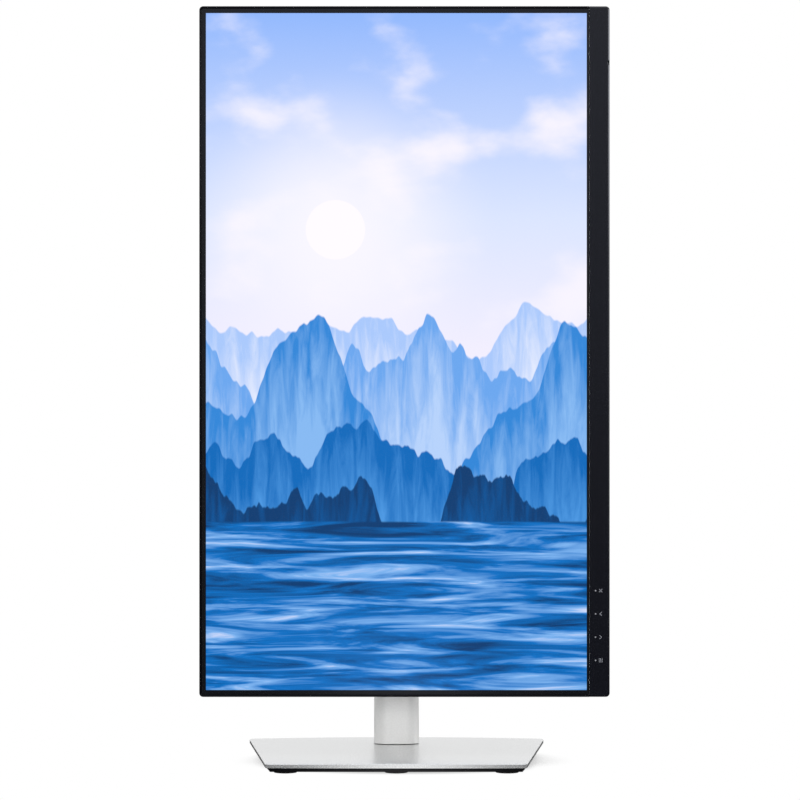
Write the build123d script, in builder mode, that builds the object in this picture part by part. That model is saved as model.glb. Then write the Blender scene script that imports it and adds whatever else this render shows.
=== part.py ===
# A 23.8 inch desk monitor on a height-adjustable stand, turned to portrait.
# Millimetres. +Z is up, +X is the viewer's right and +Y runs from the screen to the back.
# The origin is on the desk, under the middle of the display's outline and of the base's depth.
from build123d import *
import os

os.makedirs("parts", exist_ok=True)

# ---- Driving dimensions ---------------------------------------------------------------------

# Display, as it is held in landscape: width is the long side.
active_width = 527.04
active_height = 296.46
end_border = 5.38
top_border = 5.2
chin_height = 17.9
corner_radius = 3.0
frame_wall = 1.6
frame_depth = 5.5
rim_depth = 9.5
rim_gap = 0.3
rim_edge_radius = 1.6
glass_recess = 0.4
glass_gap = 0.3
chin_glass_border = 2.0
chin_chamfer = 1.2

# Layers behind the screen's face, front to back.
polariser_thickness = 0.3
glass_thickness = 1.1
diffuser_thickness = 0.8
light_guide_thickness = 2.0
reflector_thickness = 0.3
chassis_thickness = 0.8
chin_tray_reach = 5.4
led_strip_height = 1.2

# Bulge that holds the boards, at its root and at its rear face.
cover_wall = 2.2
bulge_depth = 46.0
bulge_root_width = 430.0
bulge_root_top = 100.0
bulge_root_bottom = 128.0
bulge_face_width = 340.0
bulge_face_top = 74.0
bulge_face_bottom = 98.0
bulge_root_radius = 26.0
bulge_face_radius = 18.0
bulge_edge_radius = 3.0
vent_width = 2.4
vent_pitch = 7.0
vent_count = 39
vent_depth_start = 18.0
vent_depth_end = 34.0

# Port bay in the lower side of the bulge.
bay_width = 300.0
bay_top = 86.0
bay_floor_depth = 14.0

# Boards and the larger components on them.
board_depth = 16.0
board_thickness = 1.6
main_board_width = 148.0
power_board_left = 92.0
power_board_width = 98.0
main_board_top = 8.0
power_board_top = 30.0
board_hole_inset = 6.0
chip_size = 28.0
chip_height = 1.2
chip_drop = 33.0
memory_width = 12.0
memory_height = 9.0
heat_sink_height = 8.0
heat_sink_fin = 1.2
heat_sink_fins = 7
heat_sink_pitch = 4.0
small_can_radius = 4.0
small_can_height = 8.0
transformer_shift = 20.0
transformer_width = 30.0
transformer_height = 26.0
transformer_rise = 17.0
cooling_plate_height = 44.0
cooling_plate_thickness = 4.0
cooling_plate_shift = 24.5
large_can_shift = 12.0
large_can_radius = 9.0
large_can_height = 13.0
filter_can_radius = 5.0
filter_can_height = 12.0
boss_radius = 3.0
screw_radius = 1.5
screw_head_radius = 2.8
screw_head_height = 1.6
screw_length = 7.0
bracket_screw_inset = 15.0

# Stand interface: 100 mm square M4 pattern in a recess that takes the quick-release plate.
vesa_pitch = 100.0
vesa_thread_radius = 2.0
insert_radius = 4.5
insert_length = 10.0
recess_size = 124.0
recess_radius = 8.0
recess_depth = 6.0
bracket_width = 160.0
bracket_flange = 12.0
bracket_thickness = 1.5
bracket_top_reach = 62.0
bracket_bottom_reach = 57.0
stand_plate_size = 108.0
stand_plate_thickness = 5.0
tongue_spread = 30.0
tongue_width = 12.0
catch_width = 24.0
catch_travel = 4.0

# Pivot and tilt hinges.
pivot_shaft_radius = 10.0
pivot_flange_radius = 32.0
pivot_flange_thickness = 2.5
pivot_washer_radius = 15.0
pivot_washer_thickness = 1.0
stop_radius = 21.0
stop_pin_radius = 2.0
yoke_size = 64.0
yoke_plate = 3.0
ear_thickness = 3.5
ear_inner = 24.0
ear_radius = 7.5
tilt_axle_radius = 4.0
tilt_axle_back = 19.0
barrel_half = 18.0
barrel_radius = 7.0
spring_wire = 1.5
spring_turns = 2.5
hinge_cover_size = 84.0
hinge_cover_rear_width = 76.0
hinge_cover_rear_height = 40.0
hinge_cover_wall = 1.8
hinge_cover_depth = 26.5

# Carriage and its ball slide in the neck.
arm_width = 16.0
arm_height = 24.0
arm_plate_drop = 45.0
rail_drop = 60.0
ball_radius = 1.45
ball_spread = 9.5
race_gap = 0.8
race_wall = 2.1
ball_pitch = 12.0
ball_count = 4
lift_up = 22.0
lift_down = 40.0

# Lift spring.
coil_radius = 9.0
coil_bore = 5.0
coil_width = 12.0
strip_thickness = 0.3
spring_axle_radius = 2.0

# Neck.
neck_width = 36.1
neck_depth = 42.0
neck_flat = 15.0
neck_front_sagitta = 6.5
neck_rear_radius = 6.0
neck_wall = 2.2
neck_top = 366.0
neck_setback = 34.0
collar_top = 58.0
slot_corner = 2.4
neck_seam = 0.2
cable_slot_width = 18.0
cable_slot_height = 46.0
cable_slot_z = 130.0
liner_wall = 1.6
core_wall = 2.0
slot_liner_wall = 1.4

# Base and swivel.
base_front_width = 200.0
base_rear_width = 241.5
base_depth = 185.0
base_rear_sagitta = 12.0
base_corner_radius = 4.0
top_plate_thickness = 3.5
top_plate_chamfer = 0.7
bottom_chamfer = 0.5
tray_height = 3.1
tray_inset = 1.2
tray_taper = 40.0
ballast_thickness = 1.8
ballast_inset = 6.0
foot_height = 1.5
foot_radius = 8.8
neck_lift = 0.5
hub_radius = 15.0
hub_flange = 3.0
retainer_radius = 25.0
retainer_bore = 10.0
retainer_thickness = 1.75
thumbscrew_radius = 3.0
thumbscrew_head_radius = 7.0
thumbscrew_head_height = 2.3
bail_width = 2.0
bail_pin_radius = 0.6

# The display on the stand: its middle below the neck's top, its face before the neck.
pivot_drop = 42.3
screen_reach = 85.0

# Clearances.
running_fit = 0.05
spool_fit = 0.15
sliding_fit = 0.3
seat_gap = 0.2

# ---- Where things lie -----------------------------------------------------------------------

display_width = active_width + 2 * end_border
display_height = active_height + top_border + chin_height
display_top = active_height / 2 + top_border
display_bottom = active_height / 2 + chin_height
stand_x = (top_border - chin_height) / 2
pivot_z = neck_top - pivot_drop
neck_y = base_depth / 2 - neck_setback
neck_front_y = neck_y - neck_depth / 2
front_y = neck_front_y - screen_reach
base_top = foot_height + tray_height + top_plate_thickness
neck_bottom = base_top + neck_lift


def behind_screen(depth):
    """Plane of the display at a depth behind its face: x is landscape right, y landscape up."""
    return Plane(origin=(stand_x, front_y + depth, pivot_z), x_dir=(0, 0, 1), z_dir=(0, -1, 0))


def neck_level(height):
    return Plane(origin=(stand_x, neck_y, height))


def base_plan(height, inset=0.0):
    """The base from above: straight front, flared sides and a bowed rear edge."""
    front = -base_depth / 2
    rear_corner = base_depth / 2 - base_rear_sagitta
    with BuildSketch(Plane(origin=(stand_x, 0, height))) as plan:
        with BuildLine():
            Polyline(
                (base_rear_width / 2, rear_corner),
                (base_front_width / 2, front),
                (-base_front_width / 2, front),
                (-base_rear_width / 2, rear_corner),
            )
            ThreePointArc(
                (-base_rear_width / 2, rear_corner),
                (0, base_depth / 2),
                (base_rear_width / 2, rear_corner),
            )
        make_face()
        fillet(plan.vertices(), base_corner_radius)
        if inset > 0:
            offset(amount=-inset, mode=Mode.REPLACE)
    return plan.sketch


def neck_plan(height, inset=0.0):
    """The neck from above: flat strip in front, curved shoulders and rounded rear corners."""
    front = -neck_depth / 2
    shoulder = front + neck_front_sagitta
    side = neck_width / 2
    with BuildSketch(neck_level(height)) as plan:
        with BuildLine():
            Line((-neck_flat / 2, front), (neck_flat / 2, front))
            TangentArc((neck_flat / 2, front), (side, shoulder), tangent=(1, 0))
            Line((side, shoulder), (side, neck_depth / 2))
            Line((side, neck_depth / 2), (-side, neck_depth / 2))
            Line((-side, neck_depth / 2), (-side, shoulder))
            TangentArc((-neck_flat / 2, front), (-side, shoulder), tangent=(-1, 0))
        make_face()
        fillet(plan.vertices().group_by(Axis.Y)[-1], neck_rear_radius)
        fillet(plan.vertices().group_by(Axis.Y)[1], neck_rear_radius)
        if inset > 0:
            offset(amount=-inset, mode=Mode.REPLACE)
    return plan.sketch


# ---- Base and swivel ------------------------------------------------------------------------

tray_top = foot_height + tray_height
tray_floor = 0.9
hub_recess = 0.25
hub_bottom = tray_top - hub_recess
retainer_bottom = hub_bottom - retainer_thickness
retainer_hole_radius = retainer_radius + 1.0

with BuildPart() as base_top_plate:
    extrude(base_plan(tray_top), amount=top_plate_thickness)
    chamfer(base_top_plate.faces().sort_by(Axis.Z)[-1].outer_wire().edges(), top_plate_chamfer)
    chamfer(base_top_plate.faces().sort_by(Axis.Z)[0].outer_wire().edges(), bottom_chamfer)
    with Locations((stand_x, neck_y, base_top)):
        Hole(hub_radius + running_fit)
base_top_plate.part.label = "base_top_plate"
export_step(base_top_plate.part, "parts/base_top_plate.step")

# Slanted plastic tray, open at the top for the ballast.
with BuildPart() as base_undertray:
    extrude(base_plan(tray_top, tray_inset), amount=-tray_height, taper=tray_taper)
    extrude(base_plan(tray_top, ballast_inset - seat_gap), amount=tray_floor - tray_height,
            mode=Mode.SUBTRACT)
    with Locations((stand_x, neck_y, foot_height)):
        Hole(retainer_hole_radius)
base_undertray.part.label = "base_undertray"
export_step(base_undertray.part, "parts/base_undertray.step")

with BuildPart() as base_ballast:
    extrude(base_plan(foot_height + tray_floor, ballast_inset), amount=ballast_thickness)
    with Locations((stand_x, neck_y, tray_top)):
        Hole(retainer_hole_radius)
base_ballast.part.label = "base_ballast"
export_step(base_ballast.part, "parts/base_ballast.step")

foot_margin = ballast_inset + foot_radius
front_foot_x = base_front_width / 2 - foot_margin
rear_foot_shift = 3.25
rear_foot_x = base_rear_width / 2 - foot_margin - rear_foot_shift
front_foot_y = -base_depth / 2 + foot_margin
rear_foot_y = base_depth / 2 - base_rear_sagitta - foot_margin
foot_places = [
    (stand_x - front_foot_x, front_foot_y),
    (stand_x, front_foot_y),
    (stand_x + front_foot_x, front_foot_y),
    (stand_x - rear_foot_x, rear_foot_y),
    (stand_x + rear_foot_x, rear_foot_y),
]
with BuildPart() as rubber_feet:
    with BuildSketch(Plane.XY):
        with Locations(*foot_places):
            Circle(foot_radius)
    extrude(amount=foot_height)
rubber_feet.part.label = "rubber_feet"
export_step(rubber_feet.part, "parts/rubber_feet.step")

# The hub turns in the top plate. Its flange carries the neck, its lower ring holds it down.
with BuildPart() as swivel_hub:
    extrude(neck_plan(neck_bottom, neck_wall + seat_gap), amount=hub_flange)
    with BuildSketch(neck_level(hub_bottom)):
        Circle(hub_radius)
    extrude(amount=neck_bottom - hub_bottom)
    with Locations((stand_x, neck_y, neck_bottom + hub_flange)):
        Hole(thumbscrew_radius + running_fit)
    with BuildSketch(neck_level(hub_bottom)):
        with PolarLocations((hub_radius + retainer_bore) / 2, 3):
            Circle(screw_radius)
    extrude(amount=screw_length / 2, mode=Mode.SUBTRACT)
swivel_hub.part.label = "swivel_hub"
export_step(swivel_hub.part, "parts/swivel_hub.step")

with BuildPart() as swivel_washer:
    with BuildSketch(neck_level(hub_bottom)):
        Circle(retainer_radius - 1)
        Circle(hub_radius + running_fit, mode=Mode.SUBTRACT)
    extrude(amount=tray_top - hub_bottom)
    with BuildSketch(neck_level(base_top)):
        Circle(neck_width / 2 - 1)
        Circle(hub_radius + running_fit, mode=Mode.SUBTRACT)
    extrude(amount=neck_lift)
swivel_washer.part.label = "swivel_washer"
export_step(swivel_washer.part, "parts/swivel_washer.step")

with BuildPart() as swivel_retainer:
    with BuildSketch(neck_level(retainer_bottom)):
        Circle(retainer_radius)
        Circle(retainer_bore, mode=Mode.SUBTRACT)
        with PolarLocations((hub_radius + retainer_bore) / 2, 3):
            Circle(screw_radius + running_fit, mode=Mode.SUBTRACT)
    extrude(amount=retainer_thickness)
swivel_retainer.part.label = "swivel_retainer"
export_step(swivel_retainer.part, "parts/swivel_retainer.step")

# Screw that holds the neck on the base, with a bail that folds flat round its head.
core_foot = 3.0
core_foot_bottom = neck_bottom + hub_flange
core_nut_height = 6.0
head_bottom = hub_bottom - thumbscrew_head_height
bail_offset = 0.1
bail_z = head_bottom + thumbscrew_head_height / 2 - bail_offset
bail_inner = thumbscrew_head_radius + sliding_fit
with BuildPart() as thumbscrew:
    with BuildSketch(neck_level(head_bottom)):
        Circle(thumbscrew_head_radius)
    extrude(amount=thumbscrew_head_height)
    with BuildSketch(neck_level(hub_bottom)):
        Circle(thumbscrew_radius)
    extrude(amount=core_foot_bottom + core_foot + core_nut_height - hub_bottom)
    with BuildSketch(Plane.YZ.offset(stand_x)):
        with Locations((neck_y, bail_z)):
            Circle(bail_pin_radius + running_fit)
    extrude(amount=thumbscrew_head_radius, both=True, mode=Mode.SUBTRACT)
thumbscrew.part.label = "thumbscrew"
export_step(thumbscrew.part, "parts/thumbscrew.step")

with BuildPart() as thumbscrew_bail:
    with BuildSketch(neck_level(bail_z - bail_pin_radius)):
        Circle(bail_inner + bail_width)
        Circle(bail_inner, mode=Mode.SUBTRACT)
        with Locations((0, -bail_inner)):
            Rectangle(3 * bail_inner, 2 * bail_inner - 2 * bail_pin_radius, mode=Mode.SUBTRACT)
    extrude(amount=2 * bail_pin_radius)
    for side in (-1, 1):
        with BuildSketch(Plane.YZ.offset(stand_x + side * (bail_inner + bail_width))):
            with Locations((neck_y, bail_z)):
                Circle(bail_pin_radius)
        extrude(amount=-side * 2 * bail_width)
thumbscrew_bail.part.label = "thumbscrew_bail"
export_step(thumbscrew_bail.part, "parts/thumbscrew_bail.step")

# ---- Neck -----------------------------------------------------------------------------------

slot_half_width = arm_width / 2 + 2 * seat_gap
slot_end_room = 3.0
slot_low = pivot_z - lift_down - arm_height / 2 - slot_end_room
slot_high = pivot_z + lift_up + arm_height / 2 + slot_end_room - 1
slot_middle = (slot_low + slot_high) / 2
slot_height = slot_high - slot_low
cover_split = 1.5
cap_height = 3.0
cap_plug = 2.5

with BuildPart() as neck_foot_collar:
    extrude(neck_plan(neck_bottom), amount=collar_top - neck_bottom)
    extrude(neck_plan(neck_bottom, neck_wall), amount=collar_top - neck_bottom,
            mode=Mode.SUBTRACT)
neck_foot_collar.part.label = "neck_foot_collar"
export_step(neck_foot_collar.part, "parts/neck_foot_collar.step")

# The shell of the neck above its collar, parted into a front and a rear half.
neck_shell_bottom = collar_top + neck_seam
neck_shell_height = neck_top - cap_height - neck_shell_bottom
through_neck = Plane(origin=(stand_x, neck_front_y, 0), x_dir=(1, 0, 0), z_dir=(0, -1, 0))
with BuildPart() as neck_front_cover:
    extrude(neck_plan(neck_shell_bottom), amount=neck_shell_height)
    extrude(neck_plan(neck_shell_bottom, neck_wall), amount=neck_shell_height,
            mode=Mode.SUBTRACT)
    split(bisect_by=Plane.XZ.offset(-(neck_y + cover_split)), keep=Keep.TOP)
    with BuildSketch(through_neck):
        with Locations((0, slot_middle)):
            RectangleRounded(2 * (slot_half_width + slot_liner_wall), slot_height, slot_corner)
        with Locations((0, cable_slot_z)):
            SlotOverall(cable_slot_height + 2 * seat_gap, cable_slot_width + 2 * seat_gap,
                        rotation=90)
    extrude(amount=-neck_depth / 2, both=True, mode=Mode.SUBTRACT)
neck_front_cover.part.label = "neck_front_cover"
export_step(neck_front_cover.part, "parts/neck_front_cover.step")

with BuildPart() as neck_rear_cover:
    extrude(neck_plan(neck_shell_bottom), amount=neck_shell_height)
    extrude(neck_plan(neck_shell_bottom, neck_wall), amount=neck_shell_height,
            mode=Mode.SUBTRACT)
    split(bisect_by=Plane.XZ.offset(-(neck_y + cover_split + neck_seam)), keep=Keep.BOTTOM)
    with BuildSketch(through_neck):
        with Locations((0, cable_slot_z)):
            SlotOverall(cable_slot_height + 2 * seat_gap, cable_slot_width + 2 * seat_gap,
                        rotation=90)
    extrude(amount=-2 * neck_depth, mode=Mode.SUBTRACT)
neck_rear_cover.part.label = "neck_rear_cover"
export_step(neck_rear_cover.part, "parts/neck_rear_cover.step")

with BuildPart() as neck_top_cap:
    extrude(neck_plan(neck_top - cap_height), amount=cap_height)
    extrude(neck_plan(neck_top - cap_height, neck_wall + seat_gap), amount=-cap_plug)
    extrude(neck_plan(neck_top - cap_height - cap_plug, 2 * neck_wall + seat_gap),
            amount=cap_plug + cap_height / 2, mode=Mode.SUBTRACT)
    fillet(neck_top_cap.faces().sort_by(Axis.Z)[-1].edges(), cap_height / 3)
neck_top_cap.part.label = "neck_top_cap"
export_step(neck_top_cap.part, "parts/neck_top_cap.step")

# Dark liner of the slot that the carriage arm travels in.
slot_liner_depth = 3.0
with BuildPart() as slot_guide:
    with BuildSketch(through_neck):
        with Locations((0, slot_middle)):
            RectangleRounded(2 * (slot_half_width + slot_liner_wall - seat_gap),
                             slot_height - 2 * seat_gap, slot_corner - seat_gap)
            RectangleRounded(2 * slot_half_width, slot_height - 2 * slot_liner_wall,
                             slot_corner - slot_liner_wall, mode=Mode.SUBTRACT)
    extrude(amount=-slot_liner_depth)
slot_guide.part.label = "slot_guide"
export_step(slot_guide.part, "parts/slot_guide.step")

with BuildPart() as cable_slot_liner:
    with BuildSketch(through_neck):
        with Locations((0, cable_slot_z)):
            SlotOverall(cable_slot_height, cable_slot_width, rotation=90)
            SlotOverall(cable_slot_height - 2 * liner_wall, cable_slot_width - 2 * liner_wall,
                        rotation=90, mode=Mode.SUBTRACT)
    extrude(amount=-neck_depth)
cable_slot_liner.part.label = "cable_slot_liner"
export_step(cable_slot_liner.part, "parts/cable_slot_liner.step")

# Steel channel that stands on the hub and carries the outer rail. It is open to the rear.
core_front = neck_y - 0.5
core_side_gap = 1.35
core_half = neck_width / 2 - neck_wall - core_side_gap
core_depth = 16.0
core_height = neck_top - cap_height - cap_plug - 1.0 - core_foot_bottom
coil_room = 4.0
coil_z = neck_top - cap_height - cap_plug - coil_radius - coil_room
strip_standoff = 4.3
strip_front = core_front - strip_standoff
coil_y = strip_front + strip_thickness + coil_radius + running_fit
coil_window = 2 * coil_radius + coil_room
with BuildPart() as column_core:
    with BuildSketch(Plane(origin=(stand_x, core_front, core_foot_bottom))):
        with Locations((0, core_depth / 2)):
            Rectangle(2 * core_half, core_depth)
        with Locations((0, core_depth / 2 + core_wall)):
            Rectangle(2 * (core_half - core_wall), core_depth, mode=Mode.SUBTRACT)
    extrude(amount=core_height)
    extrude(neck_plan(core_foot_bottom, neck_wall + seat_gap), amount=core_foot)
    with BuildSketch(neck_level(core_foot_bottom + core_foot)):
        RegularPolygon(2 * thumbscrew_radius, 6)
    extrude(amount=core_nut_height)
    with Locations((stand_x, neck_y, core_foot_bottom + core_foot + core_nut_height)):
        Hole(thumbscrew_radius + running_fit)
    with BuildSketch(Plane.XZ.offset(-core_front)):
        with Locations((stand_x, cable_slot_z)):
            SlotOverall(cable_slot_height + 2 * seat_gap, cable_slot_width + 2 * seat_gap,
                        rotation=90)
        with Locations((stand_x, coil_z)):
            Rectangle(coil_width + coil_room, coil_window)
    extrude(amount=-core_wall, mode=Mode.SUBTRACT)
    with BuildSketch(Plane.YZ.offset(stand_x)):
        with Locations((coil_y, coil_z)):
            Circle(spring_axle_radius)
    extrude(amount=neck_width, both=True, mode=Mode.SUBTRACT)
column_core.part.label = "column_core"
export_step(column_core.part, "parts/column_core.step")

# Ball slide: the outer rail is fixed, the inner one rides up and down between two ball rows.
inner_half = ball_spread - race_gap
outer_half = ball_spread + race_gap
ball_setback = 5.5
ball_y = core_front - ball_setback
rail_depth = 9.5
rail_overrun = 6.0
rail_front = core_front - rail_depth
race_radius = ball_radius + running_fit
outer_low = pivot_z - lift_down - rail_drop - rail_overrun
outer_high = pivot_z + lift_up + arm_height / 2 + 2
with BuildPart() as slide_rail_outer:
    with BuildSketch(Plane(origin=(stand_x, core_front, outer_low))):
        with Locations((0, (rail_front - core_front) / 2)):
            Rectangle(2 * (outer_half + race_wall), core_front - rail_front)
        with Locations((0, (rail_front - core_front) / 2 - bracket_thickness)):
            Rectangle(2 * outer_half, core_front - rail_front, mode=Mode.SUBTRACT)
        with Locations((-ball_spread, ball_y - core_front), (ball_spread, ball_y - core_front)):
            Circle(race_radius, mode=Mode.SUBTRACT)
    extrude(amount=outer_high - outer_low)
    with BuildSketch(Plane.XZ.offset(-core_front)):
        with Locations((stand_x, coil_z)):
            Rectangle(coil_width + coil_room, coil_window)
    extrude(amount=bracket_thickness, mode=Mode.SUBTRACT)
slide_rail_outer.part.label = "slide_rail_outer"
export_step(slide_rail_outer.part, "parts/slide_rail_outer.step")

inner_low = pivot_z - rail_drop
inner_high = pivot_z + arm_height / 2
inner_rail_reach = 2.6
inner_front = ball_y - inner_rail_reach
tab_height = 8.0
with BuildPart() as slide_rail_inner:
    with BuildSketch(Plane(origin=(stand_x, inner_front, inner_low))):
        with Locations((0, (ball_y - inner_front))):
            Rectangle(2 * inner_half, 2 * (ball_y - inner_front))
        with Locations((0, (ball_y - inner_front) + bracket_thickness)):
            Rectangle(2 * (inner_half - race_wall), 2 * (ball_y - inner_front),
                      mode=Mode.SUBTRACT)
        with Locations((-ball_spread, ball_y - inner_front), (ball_spread, ball_y - inner_front)):
            Circle(race_radius, mode=Mode.SUBTRACT)
    extrude(amount=inner_high - inner_low)
    with BuildSketch(Plane(origin=(stand_x, inner_front + bracket_thickness, inner_low))):
        with Locations((0, (strip_front - inner_front - bracket_thickness) / 2)):
            Rectangle(coil_width, strip_front - inner_front - bracket_thickness)
    extrude(amount=tab_height)
slide_rail_inner.part.label = "slide_rail_inner"
export_step(slide_rail_inner.part, "parts/slide_rail_inner.step")

# Two perforated strips keep the balls apart. They follow the inner rail at half its speed.
cage_thickness = 0.8
cage_width = 4.0
cage_middle = pivot_z - (rail_drop - arm_height / 2) / 2
ball_heights = [(i - (ball_count - 1) / 2) * ball_pitch for i in range(ball_count)]
with BuildPart() as ball_cage:
    for side in (-1, 1):
        with BuildSketch(Plane(origin=(stand_x + side * ball_spread, ball_y, cage_middle))):
            Rectangle(cage_thickness, cage_width)
        extrude(amount=(ball_count + 1) * ball_pitch / 2, both=True)
    with BuildSketch(Plane.YZ.offset(stand_x)):
        with Locations(*[(ball_y, cage_middle + height) for height in ball_heights]):
            Circle(race_radius)
    extrude(amount=outer_half, both=True, mode=Mode.SUBTRACT)
ball_cage.part.label = "ball_cage"
export_step(ball_cage.part, "parts/ball_cage.step")

with BuildPart() as rail_balls:
    for side in (-1, 1):
        with Locations(*[(stand_x + side * ball_spread, ball_y, cage_middle + height)
                         for height in ball_heights]):
            Sphere(ball_radius)
rail_balls.part.label = "rail_balls"
export_step(rail_balls.part, "parts/rail_balls.step")

# Constant-force spring: a coil on a spool at the neck's top pulls the carriage up by its strip.
spool_flange = 1.0
spool_half = coil_width / 2 + spool_flange
with BuildPart() as spring_axle:
    with BuildSketch(Plane.YZ.offset(stand_x)):
        with Locations((coil_y, coil_z)):
            Circle(spring_axle_radius)
    extrude(amount=core_half, both=True)
spring_axle.part.label = "spring_axle"
export_step(spring_axle.part, "parts/spring_axle.step")

with BuildPart() as lift_spring_spool:
    with BuildSketch(Plane.YZ.offset(stand_x)):
        with Locations((coil_y, coil_z)):
            Circle(coil_bore)
            Circle(spring_axle_radius + spool_fit, mode=Mode.SUBTRACT)
    extrude(amount=spool_half, both=True)
lift_spring_spool.part.label = "lift_spring_spool"
export_step(lift_spring_spool.part, "parts/lift_spring_spool.step")

with BuildPart() as lift_spring_coil:
    with BuildSketch(Plane.YZ.offset(stand_x)):
        with Locations((coil_y, coil_z)):
            Circle(coil_radius)
            Circle(coil_bore, mode=Mode.SUBTRACT)
    extrude(amount=coil_width / 2, both=True)
lift_spring_coil.part.label = "lift_spring_coil"
export_step(lift_spring_coil.part, "parts/lift_spring_coil.step")

with BuildPart() as lift_spring_strip:
    with BuildSketch(Plane(origin=(stand_x, strip_front + strip_thickness / 2, inner_low))):
        Rectangle(coil_width - 1, strip_thickness)
    extrude(amount=coil_z - inner_low)
lift_spring_strip.part.label = "lift_spring_strip"
export_step(lift_spring_strip.part, "parts/lift_spring_strip.step")

# Screws that hold the retainer on the hub.
with BuildPart() as retainer_screws:
    with BuildSketch(neck_level(retainer_bottom)):
        with PolarLocations((hub_radius + retainer_bore) / 2, 3):
            Circle(screw_radius)
    extrude(amount=retainer_thickness + screw_length / 2 - 1)
retainer_screws.part.label = "retainer_screws"
export_step(retainer_screws.part, "parts/retainer_screws.step")

# ---- Carriage and tilt hinge ----------------------------------------------------------------

axle_y = front_y + bulge_depth + tilt_axle_back
arm_plate_back = inner_front
arm_plate_thickness = 5.0
arm_shoulder = 4.0
arm_plate_front = arm_plate_back - arm_plate_thickness
across_axle = Plane.YZ.offset(stand_x)
with BuildPart() as carriage_arm:
    with BuildSketch(across_axle):
        with BuildLine():
            Polyline(
                (axle_y, pivot_z + barrel_radius),
                (neck_front_y - arm_shoulder, pivot_z + arm_height / 2),
                (arm_plate_back, pivot_z + arm_height / 2),
                (arm_plate_back, pivot_z - arm_plate_drop),
                (arm_plate_front, pivot_z - arm_plate_drop),
                (arm_plate_front, pivot_z - arm_height),
                (arm_plate_front - arm_shoulder, pivot_z - arm_height / 2),
                (neck_front_y - arm_shoulder, pivot_z - arm_height / 2),
                (axle_y, pivot_z - barrel_radius),
                close=True,
            )
        make_face()
    extrude(amount=arm_width / 2, both=True)
    with BuildSketch(across_axle):
        with Locations((axle_y, pivot_z)):
            Circle(barrel_radius)
    extrude(amount=barrel_half, both=True)
    with BuildSketch(across_axle):
        with Locations((axle_y, pivot_z)):
            Circle(tilt_axle_radius)
    extrude(amount=barrel_half, both=True, mode=Mode.SUBTRACT)
carriage_arm.part.label = "carriage_arm"
export_step(carriage_arm.part, "parts/carriage_arm.step")

# Riveted axle: fixed in the carriage arm, with the tilt head's ears and washers on its ends.
ear_outer = ear_inner + ear_thickness
disc_stack = 3.0
axle_head_thickness = 2.0
axle_head_radius = 6.0
with BuildPart() as tilt_axle:
    with BuildSketch(across_axle):
        with Locations((axle_y, pivot_z)):
            Circle(tilt_axle_radius)
    extrude(amount=ear_outer + disc_stack + axle_head_thickness, both=True)
    for side in (-1, 1):
        with BuildSketch(Plane.YZ.offset(stand_x + side * (ear_outer + disc_stack))):
            with Locations((axle_y, pivot_z)):
                Circle(axle_head_radius)
        extrude(amount=side * axle_head_thickness)
tilt_axle.part.label = "tilt_axle"
export_step(tilt_axle.part, "parts/tilt_axle.step")

# Torsion springs between the barrel and the ears carry part of the display's weight.
spring_room = ear_inner - barrel_half
spring_pitch = (spring_room - spring_wire - 2 * sliding_fit) / spring_turns
spring_mean = tilt_axle_radius + spring_wire / 2 + sliding_fit
with BuildPart() as tilt_springs:
    for side in (-1, 1):
        spring_start = stand_x + side * (barrel_half + spring_wire / 2 + sliding_fit)
        with BuildLine():
            coil_path = Helix(spring_pitch, spring_pitch * spring_turns, spring_mean,
                              center=(spring_start, axle_y, pivot_z), direction=(side, 0, 0))
        with BuildSketch(Plane(origin=coil_path @ 0, z_dir=coil_path % 0)):
            Rectangle(spring_wire, spring_wire)
        sweep(path=coil_path)
tilt_springs.part.label = "tilt_springs"
export_step(tilt_springs.part, "parts/tilt_springs.step")

# ---- Tilt head ------------------------------------------------------------------------------

recess_floor = bulge_depth - recess_depth
plate_rear = recess_floor + stand_plate_thickness
flange_rear = plate_rear + pivot_flange_thickness
yoke_front = flange_rear + pivot_washer_thickness + running_fit
yoke_rear = yoke_front + yoke_plate

# Forked bracket: its plate turns on the pivot shaft, its ears turn on the tilt axle.
ear_height = yoke_size / 2
with BuildPart() as tilt_yoke:
    with BuildSketch(behind_screen(yoke_front)):
        RectangleRounded(yoke_size, yoke_size, ear_radius)
        Circle(pivot_shaft_radius + running_fit, mode=Mode.SUBTRACT)
    extrude(amount=-yoke_plate)
    with BuildSketch(behind_screen(yoke_front)):
        with Locations((stop_radius, 0)):
            Circle(stop_pin_radius)
    extrude(amount=pivot_washer_thickness + running_fit + pivot_flange_thickness - 2 * seat_gap)
    for side in (-1, 1):
        with BuildSketch(Plane.YZ.offset(stand_x + side * ear_inner)):
            with Locations((front_y + yoke_rear + 0.5, pivot_z)):
                Rectangle(1, ear_height)
            with Locations((axle_y, pivot_z)):
                Circle(ear_radius)
            make_hull()
            with Locations((axle_y, pivot_z)):
                Circle(tilt_axle_radius + running_fit, mode=Mode.SUBTRACT)
        extrude(amount=side * ear_thickness)
tilt_yoke.part.label = "tilt_yoke"
export_step(tilt_yoke.part, "parts/tilt_yoke.step")

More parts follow.
